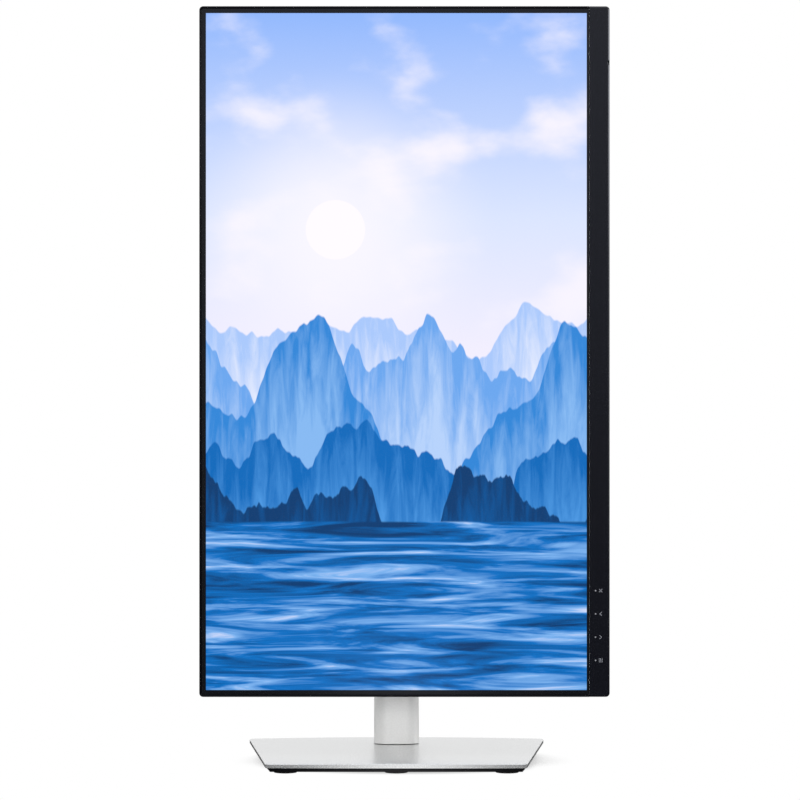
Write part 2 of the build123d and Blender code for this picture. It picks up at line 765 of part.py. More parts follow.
# Disc springs that clamp each ear, in two opposed pairs a side, and the pivot's flat washer.
disc_thickness = 0.5
disc_rise = disc_stack / 4 - disc_thickness
with BuildPart() as hinge_washers:
    for side in (-1, 1):
        for pair in (0, 1):
            start = ear_outer + pair * disc_stack / 2
            with BuildSketch(Plane.XY.offset(pivot_z)):
                with BuildLine():
                    Polyline(*[
                        (stand_x + side * (start + along), axle_y + across)
                        for along, across in (
                            (disc_rise, tilt_axle_radius + running_fit),
                            (0, axle_head_radius),
                            (disc_thickness, axle_head_radius),
                            (disc_stack / 4, tilt_axle_radius + running_fit + 1),
                            (disc_stack / 2 - disc_thickness, axle_head_radius),
                            (disc_stack / 2, axle_head_radius),
                            (disc_stack / 2 - disc_rise, tilt_axle_radius + running_fit),
                        )
                    ], close=True)
                make_face()
            revolve(axis=Axis((stand_x, axle_y, pivot_z), (1, 0, 0)))
    with BuildSketch(behind_screen(flange_rear)):
        Circle(pivot_washer_radius)
        Circle(pivot_shaft_radius + running_fit, mode=Mode.SUBTRACT)
    extrude(amount=-pivot_washer_thickness)
hinge_washers.part.label = "hinge_washers"
export_step(hinge_washers.part, "parts/hinge_washers.step")

# Plastic shroud of the hinge, lower and narrower towards the neck so that it clears it in tilt.
cover_front = yoke_front + seat_gap
hinge_opening_margin = 5.0
hinge_opening_height = hinge_cover_rear_height - hinge_opening_margin


def hinge_shroud(inset):
    with BuildPart() as shroud:
        for depth, width, height in (
            (cover_front, hinge_cover_size, hinge_cover_size),
            (cover_front + hinge_cover_depth, hinge_cover_rear_height, hinge_cover_rear_width),
        ):
            with BuildSketch(behind_screen(depth)):
                RectangleRounded(width - 2 * inset, height - 2 * inset, ear_radius)
        loft(ruled=True)
    return shroud.part


with BuildPart() as hinge_cover:
    add(hinge_shroud(0))
    fillet(hinge_cover.faces().sort_by(Axis.Y)[-1].edges(), hinge_cover_wall)
    add(hinge_shroud(hinge_cover_wall).moved(Location((0, -hinge_cover_wall, 0))),
        mode=Mode.SUBTRACT)
    with BuildSketch(behind_screen(cover_front + hinge_cover_depth)):
        RectangleRounded(hinge_opening_height, arm_width + 4, 3)
    extrude(amount=2 * hinge_cover_wall, both=True, mode=Mode.SUBTRACT)
hinge_cover.part.label = "hinge_cover"
export_step(hinge_cover.part, "parts/hinge_cover.step")

# ---- Pivot and quick-release plate ----------------------------------------------------------

flange_screw_radius = 27.0
pivot_nut_thickness = 3.0
pivot_nut_radius = 14.0
pivot_bore = 4.0
shaft_end = yoke_rear + running_fit + pivot_nut_thickness
stop_path = CenterArc((0, 0), stop_radius, 0, 180)
with BuildPart() as pivot_flange:
    with BuildSketch(behind_screen(plate_rear)):
        Circle(pivot_flange_radius)
        SlotArc(stop_path, 2 * (stop_pin_radius + sliding_fit), mode=Mode.SUBTRACT)
    extrude(amount=-pivot_flange_thickness)
    with BuildSketch(behind_screen(flange_rear)):
        Circle(pivot_shaft_radius)
    extrude(amount=flange_rear - shaft_end)
    with BuildSketch(behind_screen(shaft_end)):
        Circle(pivot_bore)
    extrude(amount=shaft_end - plate_rear, mode=Mode.SUBTRACT)
    with Locations(behind_screen(flange_rear)):
        with PolarLocations(flange_screw_radius, 4, start_angle=45):
            Cylinder(screw_radius, 2 * pivot_flange_thickness, mode=Mode.SUBTRACT)
            Cylinder(screw_head_radius, 2 * screw_head_height, mode=Mode.SUBTRACT)
pivot_flange.part.label = "pivot_flange"
export_step(pivot_flange.part, "parts/pivot_flange.step")

with BuildPart() as pivot_nut:
    with BuildSketch(behind_screen(yoke_rear + running_fit)):
        RegularPolygon(pivot_nut_radius, 6)
        Circle(pivot_shaft_radius, mode=Mode.SUBTRACT)
    extrude(amount=-pivot_nut_thickness)
pivot_nut.part.label = "pivot_nut"
export_step(pivot_nut.part, "parts/pivot_nut.step")

# Plate that hooks into the display at its top and is held by the catch at its foot.
tongue_thickness = 4.0
hook_reach = 4.5
hook_thickness = 2.4
bracket_rear = recess_floor - cover_wall - seat_gap
bracket_front = bracket_rear - bracket_thickness
hook_rear = bracket_front - seat_gap / 2
plate_edge = stand_plate_size / 2
catch_lap = 3.0
catch_lap_depth = 2.0
catch_tooth_width = catch_width - 6.0
stand_plate_radius = 6.0
stand_plate_chamfer = 0.6
with BuildPart() as stand_plate:
    with BuildSketch(behind_screen(recess_floor)):
        RectangleRounded(stand_plate_size, stand_plate_size, stand_plate_radius)
    extrude(amount=-stand_plate_thickness)
    chamfer(stand_plate.faces().sort_by(Axis.Y)[-1].edges(), stand_plate_chamfer)
    with BuildSketch(behind_screen(recess_floor)):
        with Locations((-tongue_spread, plate_edge - tongue_thickness / 2),
                       (tongue_spread, plate_edge - tongue_thickness / 2)):
            Rectangle(tongue_width, tongue_thickness)
    extrude(amount=recess_floor - hook_rear + hook_thickness)
    with BuildSketch(behind_screen(hook_rear)):
        with Locations((-tongue_spread, plate_edge + hook_reach / 2 - tongue_thickness / 2),
                       (tongue_spread, plate_edge + hook_reach / 2 - tongue_thickness / 2)):
            Rectangle(tongue_width, hook_reach + tongue_thickness)
    extrude(amount=hook_thickness)
    with BuildSketch(behind_screen(plate_rear)):
        with Locations((0, -plate_edge)):
            Rectangle(catch_tooth_width + 2 * sliding_fit, 2 * (catch_lap + sliding_fit))
    extrude(amount=catch_lap_depth, mode=Mode.SUBTRACT)
    with Locations(behind_screen(plate_rear)):
        with PolarLocations(flange_screw_radius, 4, start_angle=45):
            Cylinder(screw_radius, 2 * (screw_length - pivot_flange_thickness),
                     mode=Mode.SUBTRACT)
stand_plate.part.label = "stand_plate"
export_step(stand_plate.part, "parts/stand_plate.step")

# Sliding catch: its hook laps over the plate's foot, its stem runs in a slot of the cover.
catch_top = plate_edge + 2.0
catch_height = 10.0
grip_pitch = 2.2
grip_width = 1.0
grip_depth = 0.7
catch_bottom = catch_top + catch_height
catch_rear = plate_rear - seat_gap
stem_width = 6.0
stem_top = catch_top + 3.0
stem_bottom = catch_bottom - 3.0
with BuildPart() as release_catch:
    with BuildSketch(behind_screen(recess_floor + sliding_fit)):
        with Locations((0, -(catch_top + catch_bottom) / 2)):
            Rectangle(catch_width, catch_bottom - catch_top)
    extrude(amount=recess_floor + sliding_fit - catch_rear)
    with BuildSketch(behind_screen(catch_rear)):
        with GridLocations(1, grip_pitch, 1, 3):
            with Locations((0, -(catch_top + catch_bottom) / 2)):
                Rectangle(catch_width, grip_width)
    extrude(amount=grip_depth, mode=Mode.SUBTRACT)
    with BuildSketch(behind_screen(catch_rear)):
        with Locations((0, -(catch_top + plate_edge - catch_lap) / 2)):
            Rectangle(catch_tooth_width, catch_top - plate_edge + catch_lap)
    extrude(amount=catch_lap_depth - seat_gap - running_fit)
    with BuildSketch(behind_screen(recess_floor + sliding_fit)):
        with Locations((0, -(stem_top + stem_bottom) / 2)):
            Rectangle(stem_width, stem_bottom - stem_top)
    extrude(amount=sliding_fit + cover_wall + sliding_fit)
    with BuildSketch(behind_screen(recess_floor - cover_wall - sliding_fit)):
        with Locations((0, -(stem_top + stem_bottom) / 2)):
            Rectangle(2 * stem_width, stem_bottom - stem_top + 2)
    extrude(amount=bracket_thickness)
release_catch.part.label = "release_catch"
export_step(release_catch.part, "parts/release_catch.step")

# ---- Screen, frame and chin -----------------------------------------------------------------

polariser_depth = glass_recess
glass_depth = polariser_depth + polariser_thickness
diffuser_depth = glass_depth + glass_thickness
light_guide_depth = diffuser_depth + diffuser_thickness
reflector_depth = light_guide_depth + light_guide_thickness
chassis_depth = reflector_depth + reflector_thickness
chassis_rear = chassis_depth + chassis_thickness
glass_half_width = display_width / 2 - frame_wall - glass_gap
glass_top = display_top - frame_wall - glass_gap
glass_bottom = active_height / 2 + chin_glass_border
chin_edge = glass_bottom + seat_gap
tray_bottom = active_height / 2 + chin_tray_reach
outline_middle = (display_top - display_bottom) / 2


def screen_slab(depth, thickness, half_width, top, bottom, radius=0.1):
    """Flat layer behind the screen's face, from bottom to top of the landscape outline."""
    with BuildSketch(behind_screen(depth)) as outline:
        with Locations((0, (top - bottom) / 2)):
            RectangleRounded(2 * half_width, top + bottom, radius)
    return extrude(outline.sketch, amount=-thickness)


# Frame round three sides. The chin closes the fourth.
with BuildPart() as front_frame:
    with BuildSketch(behind_screen(0)):
        with Locations((0, outline_middle)):
            RectangleRounded(display_width, display_height, corner_radius)
            RectangleRounded(display_width - 2 * frame_wall, display_height - 2 * frame_wall,
                             corner_radius - frame_wall, mode=Mode.SUBTRACT)
        with Locations((0, -glass_bottom - chin_height)):
            Rectangle(display_width, 2 * chin_height, mode=Mode.SUBTRACT)
    extrude(amount=-frame_depth)
    chamfer(front_frame.faces().sort_by(Axis.Y)[0].edges(), glass_recess)
front_frame.part.label = "front_frame"
export_step(front_frame.part, "parts/front_frame.step")

# Chin: a shallow trough over the touch keys, with the power button in its lower wall.
key_pitch = 18.1
key_margin = 28.5
key_rise = 11.03
key_drop = display_bottom - key_rise
key_places = [key_margin + i * key_pitch - display_width / 2 for i in range(4)]
pipe_radius = 0.6
power_margin = 43.9
power_place = display_width / 2 - power_margin
power_width = 10.0
power_height = 2.6
power_depth = (frame_wall + frame_depth) / 2
power_travel = 0.6
below_display = Plane(origin=(stand_x + display_bottom, front_y, pivot_z), x_dir=(0, 0, 1),
                      z_dir=(-1, 0, 0))
with BuildPart() as chin_bezel:
    with BuildSketch(behind_screen(0)):
        with Locations((0, outline_middle)):
            RectangleRounded(display_width, display_height, corner_radius)
        with Locations((0, -chin_edge - chin_height)):
            Rectangle(display_width, 2 * chin_height, mode=Mode.INTERSECT)
    extrude(amount=-frame_depth)
    chamfer(chin_bezel.faces().sort_by(Axis.Y)[0].edges().sort_by(Axis.X)[-3:], chin_chamfer)
    with BuildSketch(behind_screen(frame_wall)):
        with Locations((0, outline_middle)):
            RectangleRounded(display_width - 2 * frame_wall, display_height - 2 * frame_wall,
                             corner_radius - frame_wall)
        with Locations((0, -chin_edge - chin_height)):
            Rectangle(display_width, 2 * chin_height, mode=Mode.INTERSECT)
    extrude(amount=-frame_depth, mode=Mode.SUBTRACT)
    with BuildSketch(behind_screen(0)):
        with Locations(*[(place, -key_drop) for place in key_places]):
            Circle(pipe_radius + running_fit)
    extrude(amount=-frame_depth, mode=Mode.SUBTRACT)
    with BuildSketch(below_display):
        with Locations((power_place, power_depth)):
            Rectangle(power_width + 2 * seat_gap, power_height + 2 * seat_gap)
    extrude(amount=2 * frame_wall, both=True, mode=Mode.SUBTRACT)
    with Locations((stand_x + display_bottom, front_y, pivot_z + power_place)):
        Sphere(chin_chamfer + frame_wall / 2, mode=Mode.SUBTRACT)
chin_bezel.part.label = "chin_bezel"
export_step(chin_bezel.part, "parts/chin_bezel.step")

power_recess = 0.2
power_flange = 0.8
with BuildPart() as power_button:
    with BuildSketch(below_display.offset(power_recess)):
        with Locations((power_place, power_depth)):
            Rectangle(power_width, power_height)
    extrude(amount=frame_wall)
    with BuildSketch(below_display.offset(power_recess + frame_wall)):
        with Locations((power_place, power_depth)):
            Rectangle(power_width + 4 * seat_gap, power_height + 3 * seat_gap)
    extrude(amount=power_flange)
    with BuildSketch(below_display.offset(power_recess + frame_wall + power_flange)):
        with Locations((power_place, power_depth)):
            Circle(power_flange)
    extrude(amount=power_travel)
power_button.part.label = "power_button"
export_step(power_button.part, "parts/power_button.step")

with BuildPart() as key_light_pipes:
    with BuildSketch(behind_screen(0)):
        with Locations(*[(place, -key_drop) for place in key_places]):
            Circle(pipe_radius)
    extrude(amount=-frame_wall - running_fit)
key_light_pipes.part.label = "key_light_pipes"
export_step(key_light_pipes.part, "parts/key_light_pipes.step")

# Touch board behind the key marks, and the small board with the power button's switch.
key_board_thickness = 1.0
switch_start = power_recess + frame_wall + power_flange + 2 * power_travel + running_fit
with BuildPart() as key_boards:
    with BuildSketch(behind_screen(frame_wall + running_fit)):
        with Locations((sum(key_places) / len(key_places),
                        -(display_bottom - frame_wall + tray_bottom) / 2)):
            Rectangle(4 * key_pitch,
                      display_bottom - frame_wall - tray_bottom - 2 * seat_gap)
    extrude(amount=-key_board_thickness)
    with BuildSketch(below_display.offset(switch_start)):
        with Locations((power_place, power_depth)):
            Rectangle(power_width / 2, power_height)
    extrude(amount=key_board_thickness)
    with BuildSketch(below_display.offset(switch_start + key_board_thickness)):
        with Locations((power_place, power_depth)):
            Rectangle(2 * power_width, frame_depth - frame_wall)
    extrude(amount=key_board_thickness)
key_boards.part.label = "key_boards"
export_step(key_boards.part, "parts/key_boards.step")

with BuildPart() as front_polariser:
    add(screen_slab(polariser_depth, polariser_thickness, glass_half_width, glass_top,
                    glass_bottom, corner_radius - frame_wall))
front_polariser.part.label = "front_polariser"
export_step(front_polariser.part, "parts/front_polariser.step")

with BuildPart() as lcd_glass:
    add(screen_slab(glass_depth, glass_thickness, glass_half_width, glass_top, glass_bottom,
                    corner_radius - frame_wall))
lcd_glass.part.label = "lcd_glass"
export_step(lcd_glass.part, "parts/lcd_glass.step")

sheet_margin = chassis_thickness + sliding_fit
sheet_half_width = glass_half_width - sheet_margin
sheet_top = glass_top - sheet_margin
sheet_bottom = tray_bottom - sheet_margin - led_strip_height - seat_gap
with BuildPart() as diffuser_sheets:
    add(screen_slab(diffuser_depth, diffuser_thickness, sheet_half_width, sheet_top,
                    sheet_bottom))
diffuser_sheets.part.label = "diffuser_sheets"
export_step(diffuser_sheets.part, "parts/diffuser_sheets.step")

with BuildPart() as light_guide_plate:
    add(screen_slab(light_guide_depth, light_guide_thickness, sheet_half_width, sheet_top,
                    sheet_bottom))
light_guide_plate.part.label = "light_guide_plate"
export_step(light_guide_plate.part, "parts/light_guide_plate.step")

with BuildPart() as reflector_sheet:
    add(screen_slab(reflector_depth, reflector_thickness, sheet_half_width, sheet_top,
                    sheet_bottom))
reflector_sheet.part.label = "reflector_sheet"
export_step(reflector_sheet.part, "parts/reflector_sheet.step")

with BuildPart() as led_strip:
    add(screen_slab(light_guide_depth, light_guide_thickness + reflector_thickness,
                    sheet_half_width, -sheet_bottom - seat_gap, tray_bottom - sheet_margin))
led_strip.part.label = "led_strip"
export_step(led_strip.part, "parts/led_strip.step")

# ---- Steel chassis, boards and connectors ---------------------------------------------------

board_bottom = bay_top - cover_wall - seat_gap
main_board_places = [
    (side * (main_board_width / 2 - board_hole_inset), level)
    for side in (-1, 1)
    for level in (main_board_top - board_hole_inset, board_hole_inset - board_bottom)
]
power_board_middle = power_board_left + power_board_width / 2
power_board_places = [
    (power_board_middle + side * (power_board_width / 2 - board_hole_inset), level)
    for side in (-1, 1)
    for level in (power_board_top - board_hole_inset, board_hole_inset - board_bottom)
]
flange_place = (bracket_width + bracket_flange) / 2
bracket_screw_places = [
    (side * flange_place, level)
    for side in (-1, 1)
    for level in (bracket_top_reach - bracket_screw_inset,
                  bracket_screw_inset - bracket_bottom_reach)
]

# Tray that holds the light guide, with drawn bosses for the boards on its back.
with BuildPart() as panel_chassis:
    add(screen_slab(diffuser_depth, chassis_rear - diffuser_depth, glass_half_width, glass_top,
                    tray_bottom, corner_radius - frame_wall))
    add(screen_slab(diffuser_depth, chassis_depth - diffuser_depth,
                    glass_half_width - chassis_thickness, glass_top - chassis_thickness,
                    tray_bottom - chassis_thickness), mode=Mode.SUBTRACT)
    with BuildSketch(behind_screen(chassis_rear)):
        with Locations(*main_board_places, *power_board_places):
            Circle(boss_radius)
    extrude(amount=chassis_rear - board_depth)
    with BuildSketch(behind_screen(board_depth)):
        with Locations(*main_board_places, *power_board_places):
            Circle(screw_radius)
    extrude(amount=screw_length, mode=Mode.SUBTRACT)
    with BuildSketch(behind_screen(chassis_rear)):
        with Locations(*bracket_screw_places):
            Circle(screw_radius)
    extrude(amount=chassis_thickness, mode=Mode.SUBTRACT)
panel_chassis.part.label = "panel_chassis"
export_step(panel_chassis.part, "parts/panel_chassis.step")

# Hat-shaped bracket between the chassis and the stand: it carries the 100 mm inserts.
across_display = Plane(origin=(stand_x, front_y, pivot_z), x_dir=(0, 0, 1), z_dir=(-1, 0, 0))
bracket_leg = bracket_width / 2 - bracket_thickness / 2
insert_places = GridLocations(vesa_pitch, vesa_pitch, 2, 2)
with BuildPart() as vesa_bracket:
    with BuildSketch(across_display.offset(-bracket_bottom_reach)):
        with Locations((0, bracket_rear - bracket_thickness / 2)):
            Rectangle(bracket_width, bracket_thickness)
        for side in (-1, 1):
            with Locations((side * bracket_leg, (chassis_rear + bracket_rear) / 2)):
                Rectangle(bracket_thickness, bracket_rear - chassis_rear)
            with Locations((side * flange_place, chassis_rear + bracket_thickness / 2)):
                Rectangle(bracket_flange, bracket_thickness)
    extrude(amount=bracket_bottom_reach + bracket_top_reach)
    with BuildSketch(behind_screen(bracket_front)):
        with insert_places:
            Circle(insert_radius)
        with Locations((-tongue_spread, plate_edge - tongue_thickness / 2),
                       (tongue_spread, plate_edge - tongue_thickness / 2)):
            Rectangle(tongue_width + 2 * seat_gap, tongue_thickness + 2 * seat_gap)
    extrude(amount=-bracket_thickness, mode=Mode.SUBTRACT)
    with BuildSketch(behind_screen(chassis_rear)):
        with Locations(*bracket_screw_places):
            Circle(screw_radius + running_fit)
    extrude(amount=-bracket_thickness, mode=Mode.SUBTRACT)
vesa_bracket.part.label = "vesa_bracket"
export_step(vesa_bracket.part, "parts/vesa_bracket.step")

with BuildPart() as vesa_inserts:
    with BuildSketch(behind_screen(recess_floor)):
        with insert_places:
            Circle(insert_radius)
            Circle(vesa_thread_radius, mode=Mode.SUBTRACT)
    extrude(amount=insert_length)
vesa_inserts.part.label = "vesa_inserts"
export_step(vesa_inserts.part, "parts/vesa_inserts.step")

# Ports in the bay's upper wall: place along the display, width, height and length.
bay_wall = across_display.offset(-bay_top)
port_depth = board_depth + board_thickness
video_port_sizes = ((-54.0, 15.2, 5.8, 11.5), (-32.0, 16.4, 5.4, 12.0))
usb_port_sizes = ((-10.0, 12.2, 11.0, 14.0), (10.0, 13.4, 6.0, 14.0), (32.0, 13.4, 6.0, 14.0))
inlet_size = (118.0, 27.4, 20.0, 24.0)
port_shell = 0.6
tongue_width_share = 0.7
video_tongue_share = 0.25
usb_tongue_share = 0.35


def port_shells(sizes, tongue_share):
    """Connector shells with their mouths in the bay and a tongue or block inside each."""
    with BuildPart() as shells:
        for place, width, height, length in sizes:
            middle = (place, port_depth + height / 2)
            with BuildSketch(bay_wall):
                with Locations(middle):
                    Rectangle(width, height)
            extrude(amount=length)
            with BuildSketch(bay_wall):
                with Locations(middle):
                    Rectangle(width - 2 * port_shell, height - 2 * port_shell)
                    Rectangle(width * tongue_width_share, height * tongue_share,
                              mode=Mode.SUBTRACT)
            extrude(amount=length - 2 * port_shell, mode=Mode.SUBTRACT)
    return shells.part


with BuildPart() as video_ports:
    add(port_shells(video_port_sizes, video_tongue_share))
video_ports.part.label = "video_ports"
export_step(video_ports.part, "parts/video_ports.step")

with BuildPart() as usb_ports:
    add(port_shells(usb_port_sizes, usb_tongue_share))
usb_ports.part.label = "usb_ports"
export_step(usb_ports.part, "parts/usb_ports.step")

pin_spread = 7.0
pin_drop = 3.0
pin_width = 2.0
pin_height = 4.0
inlet_wall = 1.6
inlet_floor = 6.0
with BuildPart() as ac_inlet:
    inlet_place, inlet_width, inlet_height, inlet_length = inlet_size
    inlet_middle = port_depth + inlet_height / 2
    with BuildSketch(bay_wall):
        with Locations((inlet_place, inlet_middle)):
            Rectangle(inlet_width, inlet_height)
    extrude(amount=inlet_length)
    with BuildSketch(bay_wall):
        with Locations((inlet_place, inlet_middle)):
            Rectangle(inlet_width - 2 * inlet_wall, inlet_height - 2 * inlet_wall)
        with Locations((inlet_place - pin_spread, inlet_middle),
                       (inlet_place, inlet_middle - pin_drop),
                       (inlet_place + pin_spread, inlet_middle)):
            Rectangle(pin_width, pin_height, mode=Mode.SUBTRACT)
    extrude(amount=inlet_length - inlet_floor, mode=Mode.SUBTRACT)
ac_inlet.part.label = "ac_inlet"
export_step(ac_inlet.part, "parts/ac_inlet.step")

# Circuit boards, with their larger components soldered on.
with BuildPart() as main_board:
    add(screen_slab(board_depth, board_thickness, main_board_width / 2, main_board_top,
                    board_bottom))
    with BuildSketch(behind_screen(port_depth)):
        with Locations((-chip_size, -chip_drop)):
            Rectangle(chip_size, chip_size)
        with Locations((memory_width, -chip_drop), (3 * memory_width, -chip_drop)):
            Rectangle(memory_width, memory_height)
    extrude(amount=-chip_height)
    with BuildSketch(behind_screen(port_depth)):
        with Locations(*[(5 * memory_width, -chip_drop + i * 3 * small_can_radius)
                         for i in range(3)]):
            Circle(small_can_radius)
    extrude(amount=-small_can_height)
    with BuildSketch(behind_screen(port_depth + chip_height)):
        with Locations((-chip_size, -chip_drop)):
            with GridLocations(heat_sink_pitch, 0, heat_sink_fins, 1):
                Rectangle(heat_sink_fin, chip_size)
    extrude(amount=-heat_sink_height)
    with BuildSketch(behind_screen(board_depth)):
        with Locations(*main_board_places):
            Circle(screw_radius + running_fit)
    extrude(amount=-board_thickness, mode=Mode.SUBTRACT)
main_board.part.label = "main_board"
export_step(main_board.part, "parts/main_board.step")

with BuildPart() as power_board:
    with BuildSketch(behind_screen(board_depth)):
        with Locations((power_board_middle, (power_board_top - board_bottom) / 2)):
            Rectangle(power_board_width, power_board_top + board_bottom)
        with Locations(*power_board_places):
            Circle(screw_radius + running_fit, mode=Mode.SUBTRACT)
    extrude(amount=-board_thickness)
    with BuildSketch(behind_screen(port_depth)):
        with Locations((power_board_middle - transformer_shift, 0)):
            Rectangle(transformer_width, transformer_height)
    extrude(amount=-transformer_rise)
    with BuildSketch(behind_screen(port_depth)):
        with Locations((power_board_middle + cooling_plate_shift, 0)):
            Rectangle(cooling_plate_thickness, cooling_plate_height)
        with Locations((power_board_middle + large_can_shift, -cooling_plate_height)):
            Circle(large_can_radius)
    extrude(amount=-large_can_height)
    with BuildSketch(behind_screen(port_depth)):
        with Locations(*[(power_board_left + board_hole_inset + 2 * filter_can_radius,
                          -cooling_plate_height + i * 3 * filter_can_radius)
                         for i in range(2)]):
            Circle(filter_can_radius)
    extrude(amount=-filter_can_height)
power_board.part.label = "power_board"
export_step(power_board.part, "parts/power_board.step")

# ---- Rear cover -----------------------------------------------------------------------------

joystick_place = (140.0, -66.0)
dish_radius = 12.0
dish_depth = 4.0
dish_floor = 1.4
joystick_seat = bulge_depth - dish_depth - dish_floor


def bulge_solid(inset):
    """Bulge of the cover from the rim to its rear face, pulled in by a wall."""
    with BuildPart() as bulge:
        for depth, width, top, bottom, radius in (
            (rim_depth - inset, bulge_root_width, bulge_root_top, bulge_root_bottom,
             bulge_root_radius),
            (bulge_depth - inset, bulge_face_width, bulge_face_top, bulge_face_bottom,
             bulge_face_radius),
        ):
            with BuildSketch(behind_screen(depth)):
                with Locations((0, (top - bottom) / 2)):
                    RectangleRounded(width - 2 * inset, top + bottom - 2 * inset, radius - inset)
        loft(ruled=True)
    return bulge.part


def recess_outline(depth, margin):
    """Square recess for the quick-release plate, with a notch below it for the catch."""
    with BuildSketch(behind_screen(depth)) as outline:
        RectangleRounded(recess_size + 2 * margin, recess_size + 2 * margin,
                         recess_radius + margin)
        with Locations((0, -(catch_bottom + catch_travel) / 2)):
            Rectangle(catch_width + 2 * sliding_fit + 2 * margin,
                      catch_bottom + catch_travel + 4 + 2 * margin)
    return outline.sketch


bay_reach = bulge_root_bottom
with BuildPart() as cover_cavity:
    add(bulge_solid(cover_wall))
    extrude(recess_outline(recess_floor - cover_wall, cover_wall), amount=-bulge_depth,
            mode=Mode.SUBTRACT)
    with BuildSketch(behind_screen(bay_floor_depth - cover_wall)):
        with Locations((0, cover_wall - bay_top - bay_reach / 2)):
            Rectangle(bay_width + 2 * cover_wall, bay_reach)
    extrude(amount=-bulge_depth, mode=Mode.SUBTRACT)
    with BuildSketch(behind_screen(joystick_seat)):
        with Locations(joystick_place):
            Circle(dish_radius + cover_wall)
    extrude(amount=-bulge_depth, mode=Mode.SUBTRACT)

with BuildPart() as rear_cover:
    with BuildSketch(behind_screen(frame_depth + rim_gap)):
        with Locations((0, outline_middle)):
            RectangleRounded(display_width, display_height, corner_radius)
    extrude(amount=frame_depth + rim_gap - rim_depth)
    fillet(rear_cover.faces().sort_by(Axis.Y)[-1].edges(), rim_edge_radius)
    add(bulge_solid(0))
    fillet(rear_cover.faces().sort_by(Axis.Y)[-1].edges(), bulge_edge_radius)
    with BuildSketch(behind_screen(frame_depth + rim_gap)):
        with Locations((0, outline_middle)):
            Rectangle(display_width - 2 * cover_wall, display_height - 2 * cover_wall)
    extrude(amount=frame_depth + rim_gap + cover_wall - rim_depth, mode=Mode.SUBTRACT)
    add(cover_cavity.part, mode=Mode.SUBTRACT)
    extrude(recess_outline(recess_floor, 0), amount=-bulge_depth, mode=Mode.SUBTRACT)
    with BuildSketch(behind_screen(bay_floor_depth)):
        with Locations((0, -bay_top - bay_reach / 2)):
            Rectangle(bay_width, bay_reach)
    extrude(amount=-bulge_depth, mode=Mode.SUBTRACT)
    with BuildSketch(bay_wall):
        for place, width, height, length in (*video_port_sizes, *usb_port_sizes, inlet_size):
            with Locations((place, port_depth + height / 2)):
                Rectangle(width + 2 * seat_gap, height + 2 * seat_gap)
    extrude(amount=cover_wall, mode=Mode.SUBTRACT)
    with BuildSketch(behind_screen(recess_floor)):
        with insert_places:
            Circle(insert_radius + seat_gap)
        with Locations((-tongue_spread, plate_edge), (tongue_spread, plate_edge)):
            Rectangle(tongue_width + 2 * seat_gap, 2 * hook_reach + 2 * seat_gap)
        with Locations((0, -(stem_top + stem_bottom + catch_travel) / 2)):
            Rectangle(stem_width + 2 * sliding_fit,
                      stem_bottom - stem_top + catch_travel + 2 * sliding_fit)
    extrude(amount=cover_wall, mode=Mode.SUBTRACT)
    with BuildSketch(behind_screen(bulge_depth - dish_depth)):
        with Locations(joystick_place):
            Circle(dish_radius)
    extrude(amount=-2 * dish_depth, mode=Mode.SUBTRACT)
    with BuildSketch(behind_screen(bulge_depth - dish_depth)):
        with Locations(joystick_place):
            Circle(dish_radius / 3)
    extrude(amount=dish_floor, mode=Mode.SUBTRACT)
    with BuildSketch(across_display.offset(bulge_face_top)):
        with Locations((0, (vent_depth_start + vent_depth_end) / 2)):
            with GridLocations(vent_pitch, 0, vent_count, 1):
                Rectangle(vent_width, vent_depth_end - vent_depth_start)
    extrude(amount=bulge_root_top - bulge_face_top, mode=Mode.SUBTRACT)
rear_cover.part.label = "rear_cover"
export_step(rear_cover.part, "parts/rear_cover.step")

# ---- Joystick behind the display ------------------------------------------------------------

switch_size = 14.0
switch_cavity = 9.4
switch_floor = 1.5
switch_height = 7.6
switch_depth = joystick_seat - switch_height
plunger_size = switch_cavity - seat_gap
plunger_height = 2.0
plunger_wall = 0.8
gimbal_rise = 3.6
gimbal_thickness = 1.4
gimbal_depth = joystick_seat - gimbal_rise
gimbal_outer = 3.3
gimbal_inner = 2.2
pin_radius = 0.5
stem_radius = 1.2
cap_radius = 7.0
stem_foot = 1.5
cap_sink = 1.8
cap_under = bulge_depth - cap_sink
cap_thickness = 2.0
cap_dome = 1.3
joystick_x = stand_x - joystick_place[1]
joystick_z = pivot_z + joystick_place[0]


def joystick_level(depth):
    return Plane(origin=(joystick_x, front_y + depth, joystick_z), x_dir=(0, 0, 1),
                 z_dir=(0, -1, 0))


with BuildPart() as joystick_switch:
    with BuildSketch(joystick_level(switch_depth)):
        RectangleRounded(switch_size, switch_size, 1)
    extrude(amount=switch_depth - joystick_seat)
    with BuildSketch(joystick_level(switch_depth + switch_floor)):
        Rectangle(switch_cavity, switch_cavity)
    extrude(amount=switch_depth + switch_floor - joystick_seat, mode=Mode.SUBTRACT)
joystick_switch.part.label = "joystick_switch"
export_step(joystick_switch.part, "parts/joystick_switch.step")

with BuildPart() as joystick_plunger:
    with BuildSketch(joystick_level(gimbal_depth - plunger_height / 2)):
        Rectangle(plunger_size, plunger_size)
        Rectangle(plunger_size - 2 * plunger_wall, plunger_size - 2 * plunger_wall,
                  mode=Mode.SUBTRACT)
    extrude(amount=-plunger_height)
    with Locations(joystick_level(gimbal_depth)):
        Cylinder(pin_radius + running_fit, plunger_size, rotation=(0, 90, 0),
                 mode=Mode.SUBTRACT)
joystick_plunger.part.label = "joystick_plunger"
export_step(joystick_plunger.part, "parts/joystick_plunger.step")

